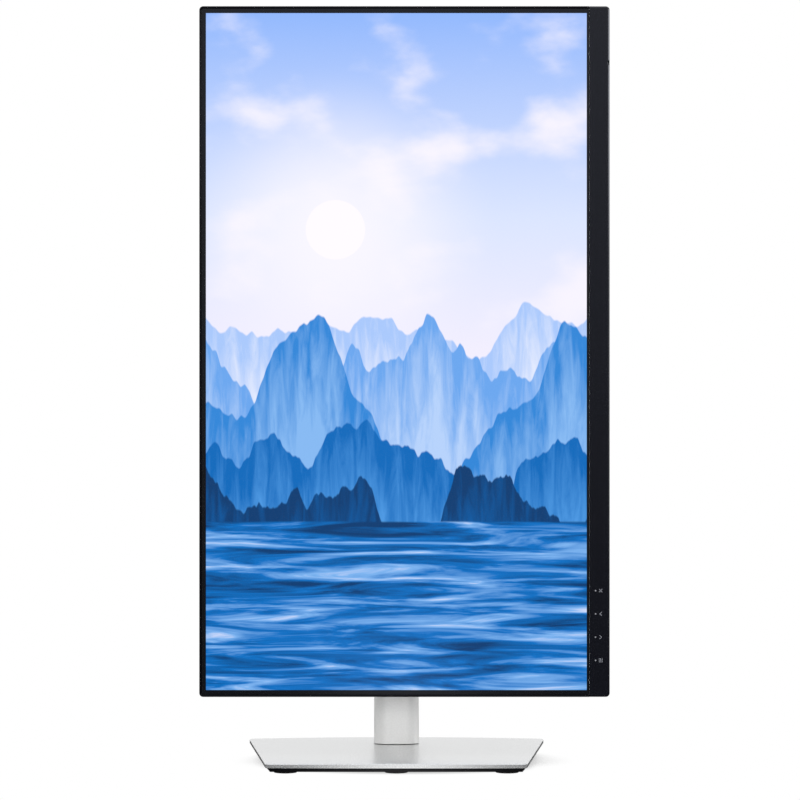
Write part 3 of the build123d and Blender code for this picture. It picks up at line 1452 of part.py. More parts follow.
with BuildPart() as joystick_gimbal:
    with BuildSketch(joystick_level(gimbal_depth - gimbal_thickness / 2)):
        Circle(gimbal_outer)
    extrude(amount=-gimbal_thickness)
    with Locations(joystick_level(gimbal_depth)):
        Cylinder(pin_radius, plunger_size - plunger_wall, rotation=(0, 90, 0))
    with BuildSketch(joystick_level(gimbal_depth - gimbal_thickness / 2)):
        Circle(gimbal_inner)
    extrude(amount=-gimbal_thickness, mode=Mode.SUBTRACT)
    with Locations(joystick_level(gimbal_depth)):
        Cylinder(pin_radius + running_fit, 2 * gimbal_outer, rotation=(90, 0, 0),
                 mode=Mode.SUBTRACT)
joystick_gimbal.part.label = "joystick_gimbal"
export_step(joystick_gimbal.part, "parts/joystick_gimbal.step")

with BuildPart() as joystick_cap:
    with BuildSketch(joystick_level(gimbal_depth - stem_foot)):
        Circle(stem_radius)
    extrude(amount=gimbal_depth - stem_foot - cap_under)
    with Locations(joystick_level(gimbal_depth)):
        Cylinder(pin_radius, gimbal_inner + gimbal_outer, rotation=(90, 0, 0))
    with BuildSketch(joystick_level(cap_under)):
        Circle(cap_radius)
    extrude(amount=-cap_thickness)
    fillet(joystick_cap.faces().sort_by(Axis.Y)[-1].edges(), cap_dome)
joystick_cap.part.label = "joystick_cap"
export_step(joystick_cap.part, "parts/joystick_cap.step")

# ---- Screws of the display ------------------------------------------------------------------

with BuildPart() as display_screws:
    with BuildSketch(behind_screen(port_depth)):
        with Locations(*main_board_places, *power_board_places):
            Circle(screw_head_radius)
    extrude(amount=-screw_head_height)
    with BuildSketch(behind_screen(port_depth)):
        with Locations(*main_board_places, *power_board_places):
            Circle(screw_radius)
    extrude(amount=screw_length - 1)
    with BuildSketch(behind_screen(chassis_rear + bracket_thickness)):
        with Locations(*bracket_screw_places):
            Circle(screw_head_radius)
    extrude(amount=-screw_head_height)
    with BuildSketch(behind_screen(chassis_rear + bracket_thickness)):
        with Locations(*bracket_screw_places):
            Circle(screw_radius)
    extrude(amount=bracket_thickness + chassis_thickness - running_fit)
    with Locations(behind_screen(flange_rear - screw_head_height / 2)):
        with PolarLocations(flange_screw_radius, 4, start_angle=45):
            Cylinder(screw_head_radius, screw_head_height)
    with Locations(behind_screen(plate_rear)):
        with PolarLocations(flange_screw_radius, 4, start_angle=45):
            Cylinder(screw_radius, 2 * (pivot_flange_thickness - screw_head_height))
display_screws.part.label = "display_screws"
export_step(display_screws.part, "parts/display_screws.step")
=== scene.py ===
import math
import bpy
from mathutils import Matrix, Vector


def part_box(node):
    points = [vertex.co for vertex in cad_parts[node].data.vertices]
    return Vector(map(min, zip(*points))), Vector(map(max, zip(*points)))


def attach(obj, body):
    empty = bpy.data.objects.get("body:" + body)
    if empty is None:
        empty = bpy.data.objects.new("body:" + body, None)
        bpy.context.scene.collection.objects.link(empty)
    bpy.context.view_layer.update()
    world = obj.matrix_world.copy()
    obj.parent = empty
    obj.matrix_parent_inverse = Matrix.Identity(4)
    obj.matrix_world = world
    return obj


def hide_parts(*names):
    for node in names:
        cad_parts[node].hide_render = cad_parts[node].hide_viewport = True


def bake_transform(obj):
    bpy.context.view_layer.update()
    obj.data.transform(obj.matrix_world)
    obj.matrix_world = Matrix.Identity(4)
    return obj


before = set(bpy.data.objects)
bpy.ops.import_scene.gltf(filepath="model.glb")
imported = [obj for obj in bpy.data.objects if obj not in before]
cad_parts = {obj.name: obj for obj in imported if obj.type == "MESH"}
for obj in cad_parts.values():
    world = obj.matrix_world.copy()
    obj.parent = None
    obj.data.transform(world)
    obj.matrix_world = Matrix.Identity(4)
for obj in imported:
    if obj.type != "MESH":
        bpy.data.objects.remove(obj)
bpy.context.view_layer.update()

scene = bpy.context.scene
mm = 0.001
print("frame loaded:", len(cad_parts), "nodes")

cameraSettings = {"place": (-0.0035, -2.4105, 0.286), "lens": 136.6}
lens = bpy.data.cameras.new("studioCamera")
lens.lens = cameraSettings["lens"]
lens.sensor_width = 36
lens.clip_end = 60
camera = bpy.data.objects.new("studioCamera", lens)
camera.location = cameraSettings["place"]
camera.rotation_euler = (math.radians(90), 0, 0)
scene.collection.objects.link(camera)
scene.camera = camera
scene.view_settings.view_transform = "Standard"


def linear(hexColour):
    parts = [int(hexColour[i:i + 2], 16) / 255 for i in (1, 3, 5)]
    return (*[c / 12.92 if c <= 0.04045 else ((c + 0.055) / 1.055) ** 2.4 for c in parts], 1)


def addNode(owner, kind, values=None, links=None, **settings):
    # one shader node with its settings, socket values and links
    node = owner.node_tree.nodes.new(kind)
    for name, value in settings.items():
        setattr(node, name, value)
    for name, value in (values or {}).items():
        node.inputs[name].default_value = value
    for name, socket in (links or {}).items():
        owner.node_tree.links.new(socket, node.inputs[name])
    return node


# Diffuse light comes evenly from all round. Gloss sees a white studio wall behind the
# product and a dim room before it, lighter towards the ceiling.
airSettings = {
    "diffuse": 0.62,
    "frontFloor": 0.02,
    "frontCeiling": 1.0,
    "frontRise": (-0.1, 0.3),    # upward part of the direction, from floor to ceiling level
    "wallFrom": (-0.55, 0.1),    # backward part of the direction, from room to white wall
}
air = bpy.data.worlds.new("studioAir")
scene.world = air
air.use_nodes = True
air.node_tree.nodes.clear()
direction = addNode(air, "ShaderNodeTexCoord").outputs["Generated"]
split = addNode(air, "ShaderNodeSeparateXYZ", links={0: direction})
height = addNode(air, "ShaderNodeMapRange", {
    1: airSettings["frontRise"][0], 2: airSettings["frontRise"][1],
    3: airSettings["frontFloor"], 4: airSettings["frontCeiling"]},
    {0: split.outputs["Z"]}, interpolation_type="SMOOTHSTEP")
behind = addNode(air, "ShaderNodeMapRange", {
    1: airSettings["wallFrom"][0], 2: airSettings["wallFrom"][1], 3: 0.0, 4: 1.0},
    {0: split.outputs["Y"]}, interpolation_type="SMOOTHSTEP")
glossAir = addNode(air, "ShaderNodeMix", {"B": 1.0},
                   {"Factor": behind.outputs[0], "A": height.outputs[0]})
rays = addNode(air, "ShaderNodeLightPath")
glossOrGlass = addNode(air, "ShaderNodeMath", links={
    0: rays.outputs["Is Glossy Ray"], 1: rays.outputs["Is Transmission Ray"]},
    operation="MAXIMUM")
notCamera = addNode(air, "ShaderNodeMix", {"A": airSettings["diffuse"]}, {
    "Factor": glossOrGlass.outputs[0], "B": glossAir.outputs[0]})
strength = addNode(air, "ShaderNodeMix", {"B": 1.0}, {
    "Factor": rays.outputs["Is Camera Ray"], "A": notCamera.outputs[0]})
glow = addNode(air, "ShaderNodeBackground", {"Color": (1, 1, 1, 1)},
               {"Strength": strength.outputs[0]})
addNode(air, "ShaderNodeOutputWorld", links={"Surface": glow.outputs[0]})

# Softboxes: place, aim, width, height, watts, and whether gloss shows them.
lampSettings = {
    "ceilingBox": ((0, -0.7, 2.4), (0, 0.05, 0.2), 2.4, 1.4, 26, False),
    "leftBox": ((-1.9, -1.3, 1.0), (0, 0, 0.3), 0.7, 1.7, 8, False),
    "rightBox": ((2.0, 0.1, 0.95), (0, 0, 0.4), 0.7, 0.8, 7, True),
    "rearBox": ((0, 2.3, 1.9), (0, 0, 0.3), 2.0, 1.2, 12, False),
    "lowFill": ((0, -1.7, 0.3), (0, 0, 0.06), 1.6, 0.5, 19, False),
}
for name, (place, aim, wide, tall, watts, shown) in lampSettings.items():
    lamp = bpy.data.lights.new(name, "AREA")
    lamp.shape = "RECTANGLE"
    lamp.size, lamp.size_y, lamp.energy = wide, tall, watts
    holder = bpy.data.objects.new(name, lamp)
    holder.location = place
    holder.rotation_euler = (Vector(aim) - Vector(place)).to_track_quat("-Z", "Y").to_euler()
    holder.visible_glossy = shown
    scene.collection.objects.link(holder)

# White sweep: a real floor near the stand, which takes its shadow, fading to plain white.
# Gloss sees it as a bright card before the foot and dim further out, as in a small studio.
sweepSettings = {
    "radius": 12,
    "below": 0.0003,             # just under the feet, so that the faces don't meet
    "paint": 0.93,
    "shadowHalf": (0.12, 0.085),
    "shadowReach": (0.85, 1.15),
    "shadowSoftened": 0.5,
    "cardHalfWidth": 0.11,
    "cardLevels": (1.15, 0.05),
    "dimFrom": (-0.5, -1.0),
    "dimLevel": 0.03,
    "rearFrom": (0.15, 0.6),
    "rearLevel": 0.8,
}
bpy.ops.object.select_all(action="DESELECT")
bpy.ops.mesh.primitive_circle_add(vertices=96, radius=sweepSettings["radius"],
                                  fill_type="NGON", location=(0, 0, -sweepSettings["below"]))
sweep = bpy.context.object
sweep.name = "floorSweep"
bpy.ops.object.transform_apply(location=True)
sweepPaint = bpy.data.materials.new("mattWhiteSweepPaint")
sweepPaint.use_nodes = True
sweepPaint.node_tree.nodes.clear()
place = addNode(sweepPaint, "ShaderNodeTexCoord").outputs["Object"]
oval = addNode(sweepPaint, "ShaderNodeVectorMath", {
    1: (sweepSettings["shadowHalf"][0], sweepSettings["shadowHalf"][1], 1)}, {0: place},
    operation="DIVIDE")
radius = addNode(sweepPaint, "ShaderNodeVectorMath", links={0: oval.outputs[0]},
                 operation="LENGTH")
fade = addNode(sweepPaint, "ShaderNodeMapRange", {
    1: sweepSettings["shadowReach"][0], 2: sweepSettings["shadowReach"][1],
    3: sweepSettings["shadowSoftened"], 4: 1.0},
    {0: radius.outputs["Value"]}, interpolation_type="SMOOTHSTEP")
floorAxes = addNode(sweepPaint, "ShaderNodeSeparateXYZ", links={0: place})
aside = addNode(sweepPaint, "ShaderNodeMath", links={0: floorAxes.outputs["X"]},
                operation="ABSOLUTE")
card = addNode(sweepPaint, "ShaderNodeMapRange", {
    1: 0.0, 2: sweepSettings["cardHalfWidth"], 3: sweepSettings["cardLevels"][0],
    4: sweepSettings["cardLevels"][1]}, {0: aside.outputs[0]}, interpolation_type="SMOOTHSTEP")
levels = card.outputs[0]
for span, level in (("dimFrom", "dimLevel"), ("rearFrom", "rearLevel")):
    away = addNode(sweepPaint, "ShaderNodeMapRange", {
        1: sweepSettings[span][0], 2: sweepSettings[span][1]},
        {0: floorAxes.outputs["Y"]}, interpolation_type="SMOOTHSTEP")
    levels = addNode(sweepPaint, "ShaderNodeMix", {"B": sweepSettings[level]},
                     {"Factor": away.outputs[0], "A": levels}).outputs[0]
sweepRays = addNode(sweepPaint, "ShaderNodeLightPath")
cameraFade = addNode(sweepPaint, "ShaderNodeMath", links={
    0: fade.outputs[0], 1: sweepRays.outputs["Is Camera Ray"]}, operation="MULTIPLY")
share = addNode(sweepPaint, "ShaderNodeMath", links={
    0: cameraFade.outputs[0], 1: sweepRays.outputs["Is Glossy Ray"]}, operation="MAXIMUM")
brightness = addNode(sweepPaint, "ShaderNodeMix", {"B": 1.0}, {
    "Factor": sweepRays.outputs["Is Camera Ray"], "A": levels})
matt = addNode(sweepPaint, "ShaderNodeBsdfDiffuse", {"Color": (*[sweepSettings["paint"]] * 3, 1)})
white = addNode(sweepPaint, "ShaderNodeEmission", {"Color": (1, 1, 1, 1)},
                {"Strength": brightness.outputs[0]})
both = addNode(sweepPaint, "ShaderNodeMixShader",
               links={0: share.outputs[0], 1: matt.outputs[0], 2: white.outputs[0]})
addNode(sweepPaint, "ShaderNodeOutputMaterial", links={"Surface": both.outputs[0]})
sweep.data.materials.append(sweepPaint)
print("camera, air, lamps and floor ready")


def startMaterial(name, metallic, roughness, **sockets):
    # a material, its shader and the point that its patterns read, in metres
    material = bpy.data.materials.new(name)
    material.use_nodes = True
    shader = material.node_tree.nodes["Principled BSDF"]
    shader.inputs["Metallic"].default_value = metallic
    shader.inputs["Roughness"].default_value = roughness
    for socket, value in sockets.items():
        shader.inputs[socket.replace("_", " ")].default_value = value
    point = addNode(material, "ShaderNodeTexCoord").outputs["Object"]
    return material, shader, point


def tint(material, shader, point, dark, light, patch, detail=3, stretch=(1, 1, 1)):
    # cloudy change of colour between two tones, with patches of about this size
    turned = addNode(material, "ShaderNodeMapping", {"Scale": stretch}, {"Vector": point})
    cloud = addNode(material, "ShaderNodeTexNoise", {"Scale": 1 / patch, "Detail": detail},
                    {"Vector": turned.outputs[0]})
    ramp = addNode(material, "ShaderNodeMapRange", {1: 0.3, 2: 0.7}, {0: cloud.outputs[0]})
    mix = addNode(material, "ShaderNodeMix", {6: linear(dark), 7: linear(light)},
                  {0: ramp.outputs[0]}, data_type="RGBA")
    material.node_tree.links.new(mix.outputs[2], shader.inputs["Base Color"])
    return mix.outputs[2]


def grain(material, shader, point, size, depth, rough, stretch=(1, 1, 1)):
    # fine relief of this grain size and depth, which also varies the roughness
    turned = addNode(material, "ShaderNodeMapping", {"Scale": stretch}, {"Vector": point})
    noise = addNode(material, "ShaderNodeTexNoise", {"Scale": 1 / size, "Detail": 4},
                    {"Vector": turned.outputs[0]})
    relief = addNode(material, "ShaderNodeBump", {"Strength": 1, "Distance": depth},
                     {"Height": noise.outputs[0]})
    gloss = addNode(material, "ShaderNodeMapRange", {1: 0.3, 2: 0.7, 3: rough[0], 4: rough[1]},
                    {0: noise.outputs[0]})
    material.node_tree.links.new(relief.outputs[0], shader.inputs["Normal"])
    material.node_tree.links.new(gloss.outputs[0], shader.inputs["Roughness"])


def middleAndHalf(low, high):
    return ([(a + b) / 2 for a, b in zip(low, high)],
            [(b - a) / 2 for a, b in zip(low, high)])


def insideBox(material, point, low, high):
    # 1 inside a box given by two corners in metres, and 0 outside
    middle, half = middleAndHalf(low, high)
    away = addNode(material, "ShaderNodeVectorMath", {1: middle}, {0: point},
                   operation="SUBTRACT")
    flat = addNode(material, "ShaderNodeVectorMath", links={0: away.outputs[0]},
                   operation="ABSOLUTE")
    over = addNode(material, "ShaderNodeVectorMath", {1: half}, {0: flat.outputs[0]},
                   operation="SUBTRACT")
    axes = addNode(material, "ShaderNodeSeparateXYZ", links={0: over.outputs[0]})
    wider = addNode(material, "ShaderNodeMath", links={0: axes.outputs[0], 1: axes.outputs[1]},
                    operation="MAXIMUM")
    widest = addNode(material, "ShaderNodeMath", links={0: wider.outputs[0], 1: axes.outputs[2]},
                     operation="MAXIMUM")
    return addNode(material, "ShaderNodeMath", {1: 0.0}, {0: widest.outputs[0]},
                   operation="LESS_THAN").outputs[0]


def recolour(material, shader, colour, mask, hexColour):
    # lays another colour over the one so far, where the mask is 1
    mix = addNode(material, "ShaderNodeMix", {7: linear(hexColour)}, {0: mask, 6: colour},
                  data_type="RGBA")
    material.node_tree.links.new(mix.outputs[2], shader.inputs["Base Color"])
    return mix.outputs[2]


def makeSatinSilverPaint():
    # Sprayed metallic lacquer on steel: a soft mirror with a very fine flake.
    # The flake is drawn at 0.8 mm, coarser than real, so that it shows.
    material, shader, point = startMaterial("satinSilverPaintOnSteel", 0.86, 0.28,
                                            Coat_Weight=0.12, Coat_Roughness=0.35)
    tint(material, shader, point, "#d3d4d5", "#dedfdf", 0.0008)
    grain(material, shader, point, 0.0009, 0.0000015, (0.25, 0.31))
    return material


def makeSilverAbs():
    # ABS moulded in a silver-filled resin: pearly, softer than paint on metal.
    material, shader, point = startMaterial("silverFilledAbs", 0.3, 0.38)
    tint(material, shader, point, "#dddddc", "#e4e4e3", 0.0012)
    grain(material, shader, point, 0.0007, 0.000008, (0.36, 0.44))
    return material


def makeCharcoalAbs(name, grainSize, depth, rough):
    # Charcoal ABS from a spark-eroded mould: a fine, dry grain that scatters highlights.
    material, shader, point = startMaterial(name, 0.0, rough[0], Specular_IOR_Level=0.5)
    tint(material, shader, point, "#15161a", "#1b1c21", 0.0016)
    grain(material, shader, point, grainSize, depth, rough)
    return material


def makeFrameAbs(name, dark, light, specular):
    # Smooth satin ABS of the bezel, bluish charcoal.
    material, shader, point = startMaterial(name, 0.0, 0.2, Specular_IOR_Level=specular,
                                            Specular_Tint=linear("#dfe3f2"))
    tint(material, shader, point, dark, light, 0.0011)
    grain(material, shader, point, 0.0006, 0.0000006, (0.19, 0.22))
    return material


def makeBlackPlastic():
    # Black polypropylene with faint flow marks, for trays, liners and buttons.
    material, shader, point = startMaterial("blackMouldedPolypropylene", 0.0, 0.45,
                                            Specular_IOR_Level=0.12)
    tint(material, shader, point, "#060609", "#0a0a0e", 0.004, stretch=(1, 1, 0.3))
    grain(material, shader, point, 0.0008, 0.00001, (0.4, 0.52))
    return material


def makeRubber():
    # Nitrile rubber: dull, nearly no highlight.
    material, shader, point = startMaterial("mattNitrileRubber", 0.0, 0.8)
    tint(material, shader, point, "#101010", "#1a1a1a", 0.002)
    grain(material, shader, point, 0.0006, 0.00002, (0.72, 0.86))
    return material


def makeZincSteel():
    # Pressed steel, electroplated with zinc: bluish grey with a faint spangle 3 mm wide.
    material, shader, point = startMaterial("zincPlatedPressedSteel", 1.0, 0.34)
    crystal = addNode(material, "ShaderNodeTexVoronoi", {"Scale": 1 / 0.003}, {"Vector": point})
    mix = addNode(material, "ShaderNodeMix", {6: linear("#9c9fa3"), 7: linear("#adb0b4")},
                  {0: crystal.outputs["Color"]}, data_type="RGBA")
    material.node_tree.links.new(mix.outputs[2], shader.inputs["Base Color"])
    grain(material, shader, point, 0.001, 0.000006, (0.28, 0.42))
    return material


def makePolishedSteel():
    # Ground and polished steel with hair-fine scratches.
    material, shader, point = startMaterial("groundPolishedSteel", 1.0, 0.18)
    tint(material, shader, point, "#b4b6b9", "#c8cacc", 0.003)
    grain(material, shader, point, 0.0004, 0.000003, (0.14, 0.24), stretch=(1, 1, 0.15))
    return material


def makeCastAlloy():
    # Die-cast aluminium, shot-blasted: light grey with a sandy skin.
    material, shader, point = startMaterial("blastedDieCastAluminium", 1.0, 0.5)
    tint(material, shader, point, "#8d8f91", "#a3a5a6", 0.005)
    grain(material, shader, point, 0.0005, 0.00004, (0.45, 0.6))
    return material


def makeBallastSteel():
    # Mild steel sheet with mill scale, oiled: dark and blotchy.
    material, shader, point = startMaterial("oiledMildSteel", 1.0, 0.5)
    tint(material, shader, point, "#4b4c4e", "#6c6d6f", 0.012)
    grain(material, shader, point, 0.002, 0.00002, (0.4, 0.62))
    return material


def makeBrass():
    # Turned brass: fine rings from the lathe round the 100 mm pattern's inserts.
    material, shader, point = startMaterial("turnedBrass", 1.0, 0.25)
    tint(material, shader, point, "#b08d4a", "#c9a660", 0.002)
    grain(material, shader, point, 0.0003, 0.000006, (0.2, 0.34))
    return material


def makeAcetal():
    # Natural acetal: milky white, a little waxy.
    material, shader, point = startMaterial("naturalAcetal", 0.0, 0.35,
                                            Subsurface_Weight=0.1, Subsurface_Scale=0.002)
    tint(material, shader, point, "#d3d2c6", "#e2e1d7", 0.005)
    grain(material, shader, point, 0.0008, 0.000008, (0.32, 0.42))
    return material


def makeFilm():
    # White polyester diffusing film.
    material, shader, point = startMaterial("whitePolyesterFilm", 0.0, 0.5)
    tint(material, shader, point, "#e4e6ea", "#f1f2f4", 0.02)
    grain(material, shader, point, 0.0004, 0.000004, (0.45, 0.56))
    return material


def makeAcrylic(name, dark, light, glow):
    # Cast acrylic that carries light: clear edge, faintly glowing where it is lit.
    material, shader, point = startMaterial(name, 0.0, 0.12, IOR=1.49,
                                            Emission_Strength=glow)
    colour = tint(material, shader, point, dark, light, 0.002)
    material.node_tree.links.new(colour, shader.inputs["Emission Color"])
    grain(material, shader, point, 0.0006, 0.000002, (0.1, 0.16))
    return material


def makeBoard(name, boxes):
    # Glass-epoxy board under green solder mask, with black parts and bare metal on it.
    material, shader, point = startMaterial(name, 0.0, 0.35)
    colour = tint(material, shader, point, "#0d3f22", "#14532e", 0.006)
    for low, high, hexColour in boxes:
        colour = recolour(material, shader, colour, insideBox(material, point, low, high),
                          hexColour)
    grain(material, shader, point, 0.0012, 0.00002, (0.28, 0.42))
    return material


def makePortMetal(name, tongues):
    # Nickel-plated connector shells with black moulded tongues inside.
    material, shader, point = startMaterial(name, 0.9, 0.28)
    colour = tint(material, shader, point, "#a9abae", "#bfc1c4", 0.002)
    for low, high in tongues:
        colour = recolour(material, shader, colour, insideBox(material, point, low, high),
                          "#0d0d0e")
    grain(material, shader, point, 0.0005, 0.000004, (0.24, 0.34))
    return material


def makeInletPlastic(pins):
    # Black nylon socket of the mains inlet, with its three nickel-plated blades.
    material, shader, point = startMaterial("blackNylonAndBlades", 0.0, 0.4)
    colour = tint(material, shader, point, "#0c0c0d", "#151516", 0.002)
    for low, high in pins:
        colour = recolour(material, shader, colour, insideBox(material, point, low, high),
                          "#c4c5c8")
    grain(material, shader, point, 0.0006, 0.000006, (0.34, 0.46))
    return material


def makePrintInk():
    # Pad-printed grey ink: flat, slightly uneven in cover.
    material, shader, point = startMaterial("padPrintedInk", 0.0, 0.6)
    tint(material, shader, point, "#66686e", "#777980", 0.0006)
    grain(material, shader, point, 0.0003, 0.000002, (0.55, 0.68))
    return material


# The lit picture: misty ridges over a lake, in cool blues. A place is a share of the
# picture's half width or half height from its middle, and a radius is in half heights.
skySettings = {
    "horizon": "#f7f0fd",
    "middle": "#dae4fe",
    "zenith": "#8fb6fb",
    "middleAt": 0.45,
    "cloud": "#f7f3fe",
    "cloudStretch": (1.1, 1, 3.4),
    "cloudSlant": 0.3,
    "cloudScale": 1.4,
    "cloudEdge": (0.48, 0.72),
    "sun": "#fffaff",
    "sunPlace": (-0.32, 0, 0.36),
    "sunRings": ((0.06, 0.5, 0.75), (0.085, 0.09, 1.0)),    # inner and outer radius, cover
}
gullySettings = {"stretch": (9, 1, 2.2), "slant": 0.35, "scale": 2.0, "depth": 0.16}
mistReach = 0.34    # how far below its line a ridge fades to its foot colour
# Each ridge: height of its line, swing, bumps across the picture, seed, top and foot colour.
ridges = [
    (0.10, 0.20, 1.1, 3.1, "#a9c8fb", "#e6ecfe"),
    (-0.02, 0.24, 1.5, 9.4, "#6aa6ee", "#b6d2fb"),
    (-0.17, 0.24, 1.3, 14.2, "#2f86d8", "#86b9f2"),
    (-0.30, 0.20, 1.7, 21.7, "#0069bb", "#4b98e2"),
    (-0.43, 0.14, 2.6, 33.3, "#003b71", "#0061ae"),
]
lakeSettings = {
    "shore": -0.5,
    "rippleAcross": 1.3,
    "rippleUp": 26,
    "steps": (0.36, 0.5, 0.62, 0.72),    # where deep, middle, pale and glint lie
    "deep": "#003b71",
    "middle": "#0070c4",
    "pale": "#7db4f0",
    "glint": "#e3e6fe",
}


def makeScreen(low, high):
    # Anti-glare polariser over the lit panel: dry, dark where it is unlit.
    material, shader, point = startMaterial("antiGlarePolariserFilm", 0.0, 0.26,
                                            Emission_Strength=1.0,
                                            Specular_Tint=linear("#dfe3f2"))
    middle, half = middleAndHalf(low, high)
    centred = addNode(material, "ShaderNodeVectorMath", {1: middle}, {0: point},
                      operation="SUBTRACT")
    unit = addNode(material, "ShaderNodeVectorMath", {1: (half[0], 1, half[2])},
                   {0: centred.outputs[0]}, operation="DIVIDE")
    axes = addNode(material, "ShaderNodeSeparateXYZ", links={0: unit.outputs[0]})
    across, up = axes.outputs["X"], axes.outputs["Z"]

    # sky: light blue overhead, lilac white near the ridges, with long soft clouds
    sky = addNode(material, "ShaderNodeValToRGB", links={0: addNode(
        material, "ShaderNodeMapRange", {1: -0.1, 2: 1.0}, {0: up}).outputs[0]})
    sky.color_ramp.elements[0].color = linear(skySettings["horizon"])
    sky.color_ramp.elements[1].color = linear(skySettings["zenith"])
    step = sky.color_ramp.elements.new(skySettings["middleAt"])
    step.color = linear(skySettings["middle"])
    stretched = addNode(material, "ShaderNodeMapping", {
        "Scale": skySettings["cloudStretch"], "Rotation": (0, skySettings["cloudSlant"], 0)},
        {"Vector": unit.outputs[0]})
    cloud = addNode(material, "ShaderNodeTexNoise", {
        "Scale": skySettings["cloudScale"], "Detail": 5, "Roughness": 0.45},
        {"Vector": stretched.outputs[0]})
    cloudMask = addNode(material, "ShaderNodeMapRange", {
        1: skySettings["cloudEdge"][0], 2: skySettings["cloudEdge"][1]}, {0: cloud.outputs[0]},
        interpolation_type="SMOOTHSTEP")
    colour = addNode(material, "ShaderNodeMix", {7: linear(skySettings["cloud"])},
                     {0: cloudMask.outputs[0], 6: sky.outputs[0]}, data_type="RGBA").outputs[2]

    # sun disc with a wide halo
    sunPlace = addNode(material, "ShaderNodeVectorMath", {1: skySettings["sunPlace"]},
                       {0: unit.outputs[0]}, operation="SUBTRACT")
    sunRound = addNode(material, "ShaderNodeVectorMath", {1: (half[0] / half[2], 0, 1)},
                       {0: sunPlace.outputs[0]}, operation="MULTIPLY")
    sunAway = addNode(material, "ShaderNodeVectorMath", links={0: sunRound.outputs[0]},
                      operation="LENGTH")
    for inner, outer, cover in skySettings["sunRings"]:
        disc = addNode(material, "ShaderNodeMapRange", {1: outer, 2: inner, 3: 0, 4: cover},
                       {0: sunAway.outputs["Value"]}, interpolation_type="SMOOTHSTEP")
        colour = addNode(material, "ShaderNodeMix", {7: linear(skySettings["sun"])},
                         {0: disc.outputs[0], 6: colour}, data_type="RGBA").outputs[2]

    # gullies that run down the slopes
    gullyPoint = addNode(material, "ShaderNodeMapping", {
        "Scale": gullySettings["stretch"], "Rotation": (0, gullySettings["slant"], 0)},
        {"Vector": unit.outputs[0]})
    gully = addNode(material, "ShaderNodeTexNoise", {
        "Scale": gullySettings["scale"], "Detail": 6, "Roughness": 0.6, "Distortion": 0.6},
        {"Vector": gullyPoint.outputs[0]})
    carve = addNode(material, "ShaderNodeMapRange", {
        1: 0.3, 2: 0.7, 3: -gullySettings["depth"], 4: gullySettings["depth"]},
        {0: gully.outputs[0]})
    for line, swing, bumps, seed, top, foot in ridges:
        walk = addNode(material, "ShaderNodeMath", {1: bumps, 2: seed}, {0: across},
                       operation="MULTIPLY_ADD")
        crest = addNode(material, "ShaderNodeTexNoise",
                        {"Scale": 1.0, "Detail": 5, "Roughness": 0.46},
                        {"W": walk.outputs[0]}, noise_dimensions="1D")
        level = addNode(material, "ShaderNodeMapRange", {1: 0.25, 2: 0.75, 3: line - swing,
                        4: line + swing}, {0: crest.outputs[0]}, clamp=False)
        below = addNode(material, "ShaderNodeMath", links={0: level.outputs[0], 1: up},
                        operation="SUBTRACT")
        mask = addNode(material, "ShaderNodeMapRange", {1: -0.002, 2: 0.004},
                       {0: below.outputs[0]})
        carved = addNode(material, "ShaderNodeMath", links={0: below.outputs[0],
                         1: carve.outputs[0]}, operation="ADD")
        mist = addNode(material, "ShaderNodeMapRange", {1: 0.0, 2: mistReach},
                       {0: carved.outputs[0]})
        slope = addNode(material, "ShaderNodeMix", {6: linear(top), 7: linear(foot)},
                        {0: mist.outputs[0]}, data_type="RGBA")
        colour = addNode(material, "ShaderNodeMix", links={
            0: mask.outputs[0], 6: colour, 7: slope.outputs[2]}, data_type="RGBA").outputs[2]

    # the lake: long ripples that mirror the ridges and the pale sky
    ripplePoint = addNode(material, "ShaderNodeMapping", {"Scale": (
        lakeSettings["rippleAcross"], 1, lakeSettings["rippleUp"])}, {"Vector": unit.outputs[0]})
    ripple = addNode(material, "ShaderNodeTexNoise",
                     {"Scale": 1.0, "Detail": 6, "Roughness": 0.55, "Distortion": 0.8},
                     {"Vector": ripplePoint.outputs[0]})
    water = addNode(material, "ShaderNodeValToRGB", links={0: ripple.outputs[0]})
    deepAt, middleAt, paleAt, glintAt = lakeSettings["steps"]
    water.color_ramp.elements[0].position = deepAt
    water.color_ramp.elements[0].color = linear(lakeSettings["deep"])
    water.color_ramp.elements[1].position = glintAt
    water.color_ramp.elements[1].color = linear(lakeSettings["glint"])
    for position, tone in ((middleAt, "middle"), (paleAt, "pale")):
        step = water.color_ramp.elements.new(position)
        step.color = linear(lakeSettings[tone])
    shore = addNode(material, "ShaderNodeMath", {0: lakeSettings["shore"]}, {1: up},
                    operation="SUBTRACT")
    inLake = addNode(material, "ShaderNodeMapRange", {1: 0.0, 2: 0.006}, {0: shore.outputs[0]})
    colour = addNode(material, "ShaderNodeMix", links={
        0: inLake.outputs[0], 6: colour, 7: water.outputs[0]}, data_type="RGBA").outputs[2]

    lit = insideBox(material, point, low, high)
    picture = addNode(material, "ShaderNodeMix", {6: linear("#000000")}, {0: lit, 7: colour},
                      data_type="RGBA")
    material.node_tree.links.new(picture.outputs[2], shader.inputs["Emission Color"])
    shader.inputs["Base Color"].default_value = linear("#050609")
    grain(material, shader, point, 0.0006, 0.0000006, (0.24, 0.28))
    return material


# The lit picture inside the glass: its margins at the display's ends, top and chin, in mm.
pictureMargins = {"ends": 3.48, "top": 3.3, "chin": 2.0}
panelLow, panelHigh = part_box("front_polariser")
pictureLow = (panelLow.x + pictureMargins["top"] * mm, panelLow.y - mm,
              panelLow.z + pictureMargins["ends"] * mm)
pictureHigh = (panelHigh.x - pictureMargins["chin"] * mm, panelHigh.y + mm,
               panelHigh.z - pictureMargins["ends"] * mm)

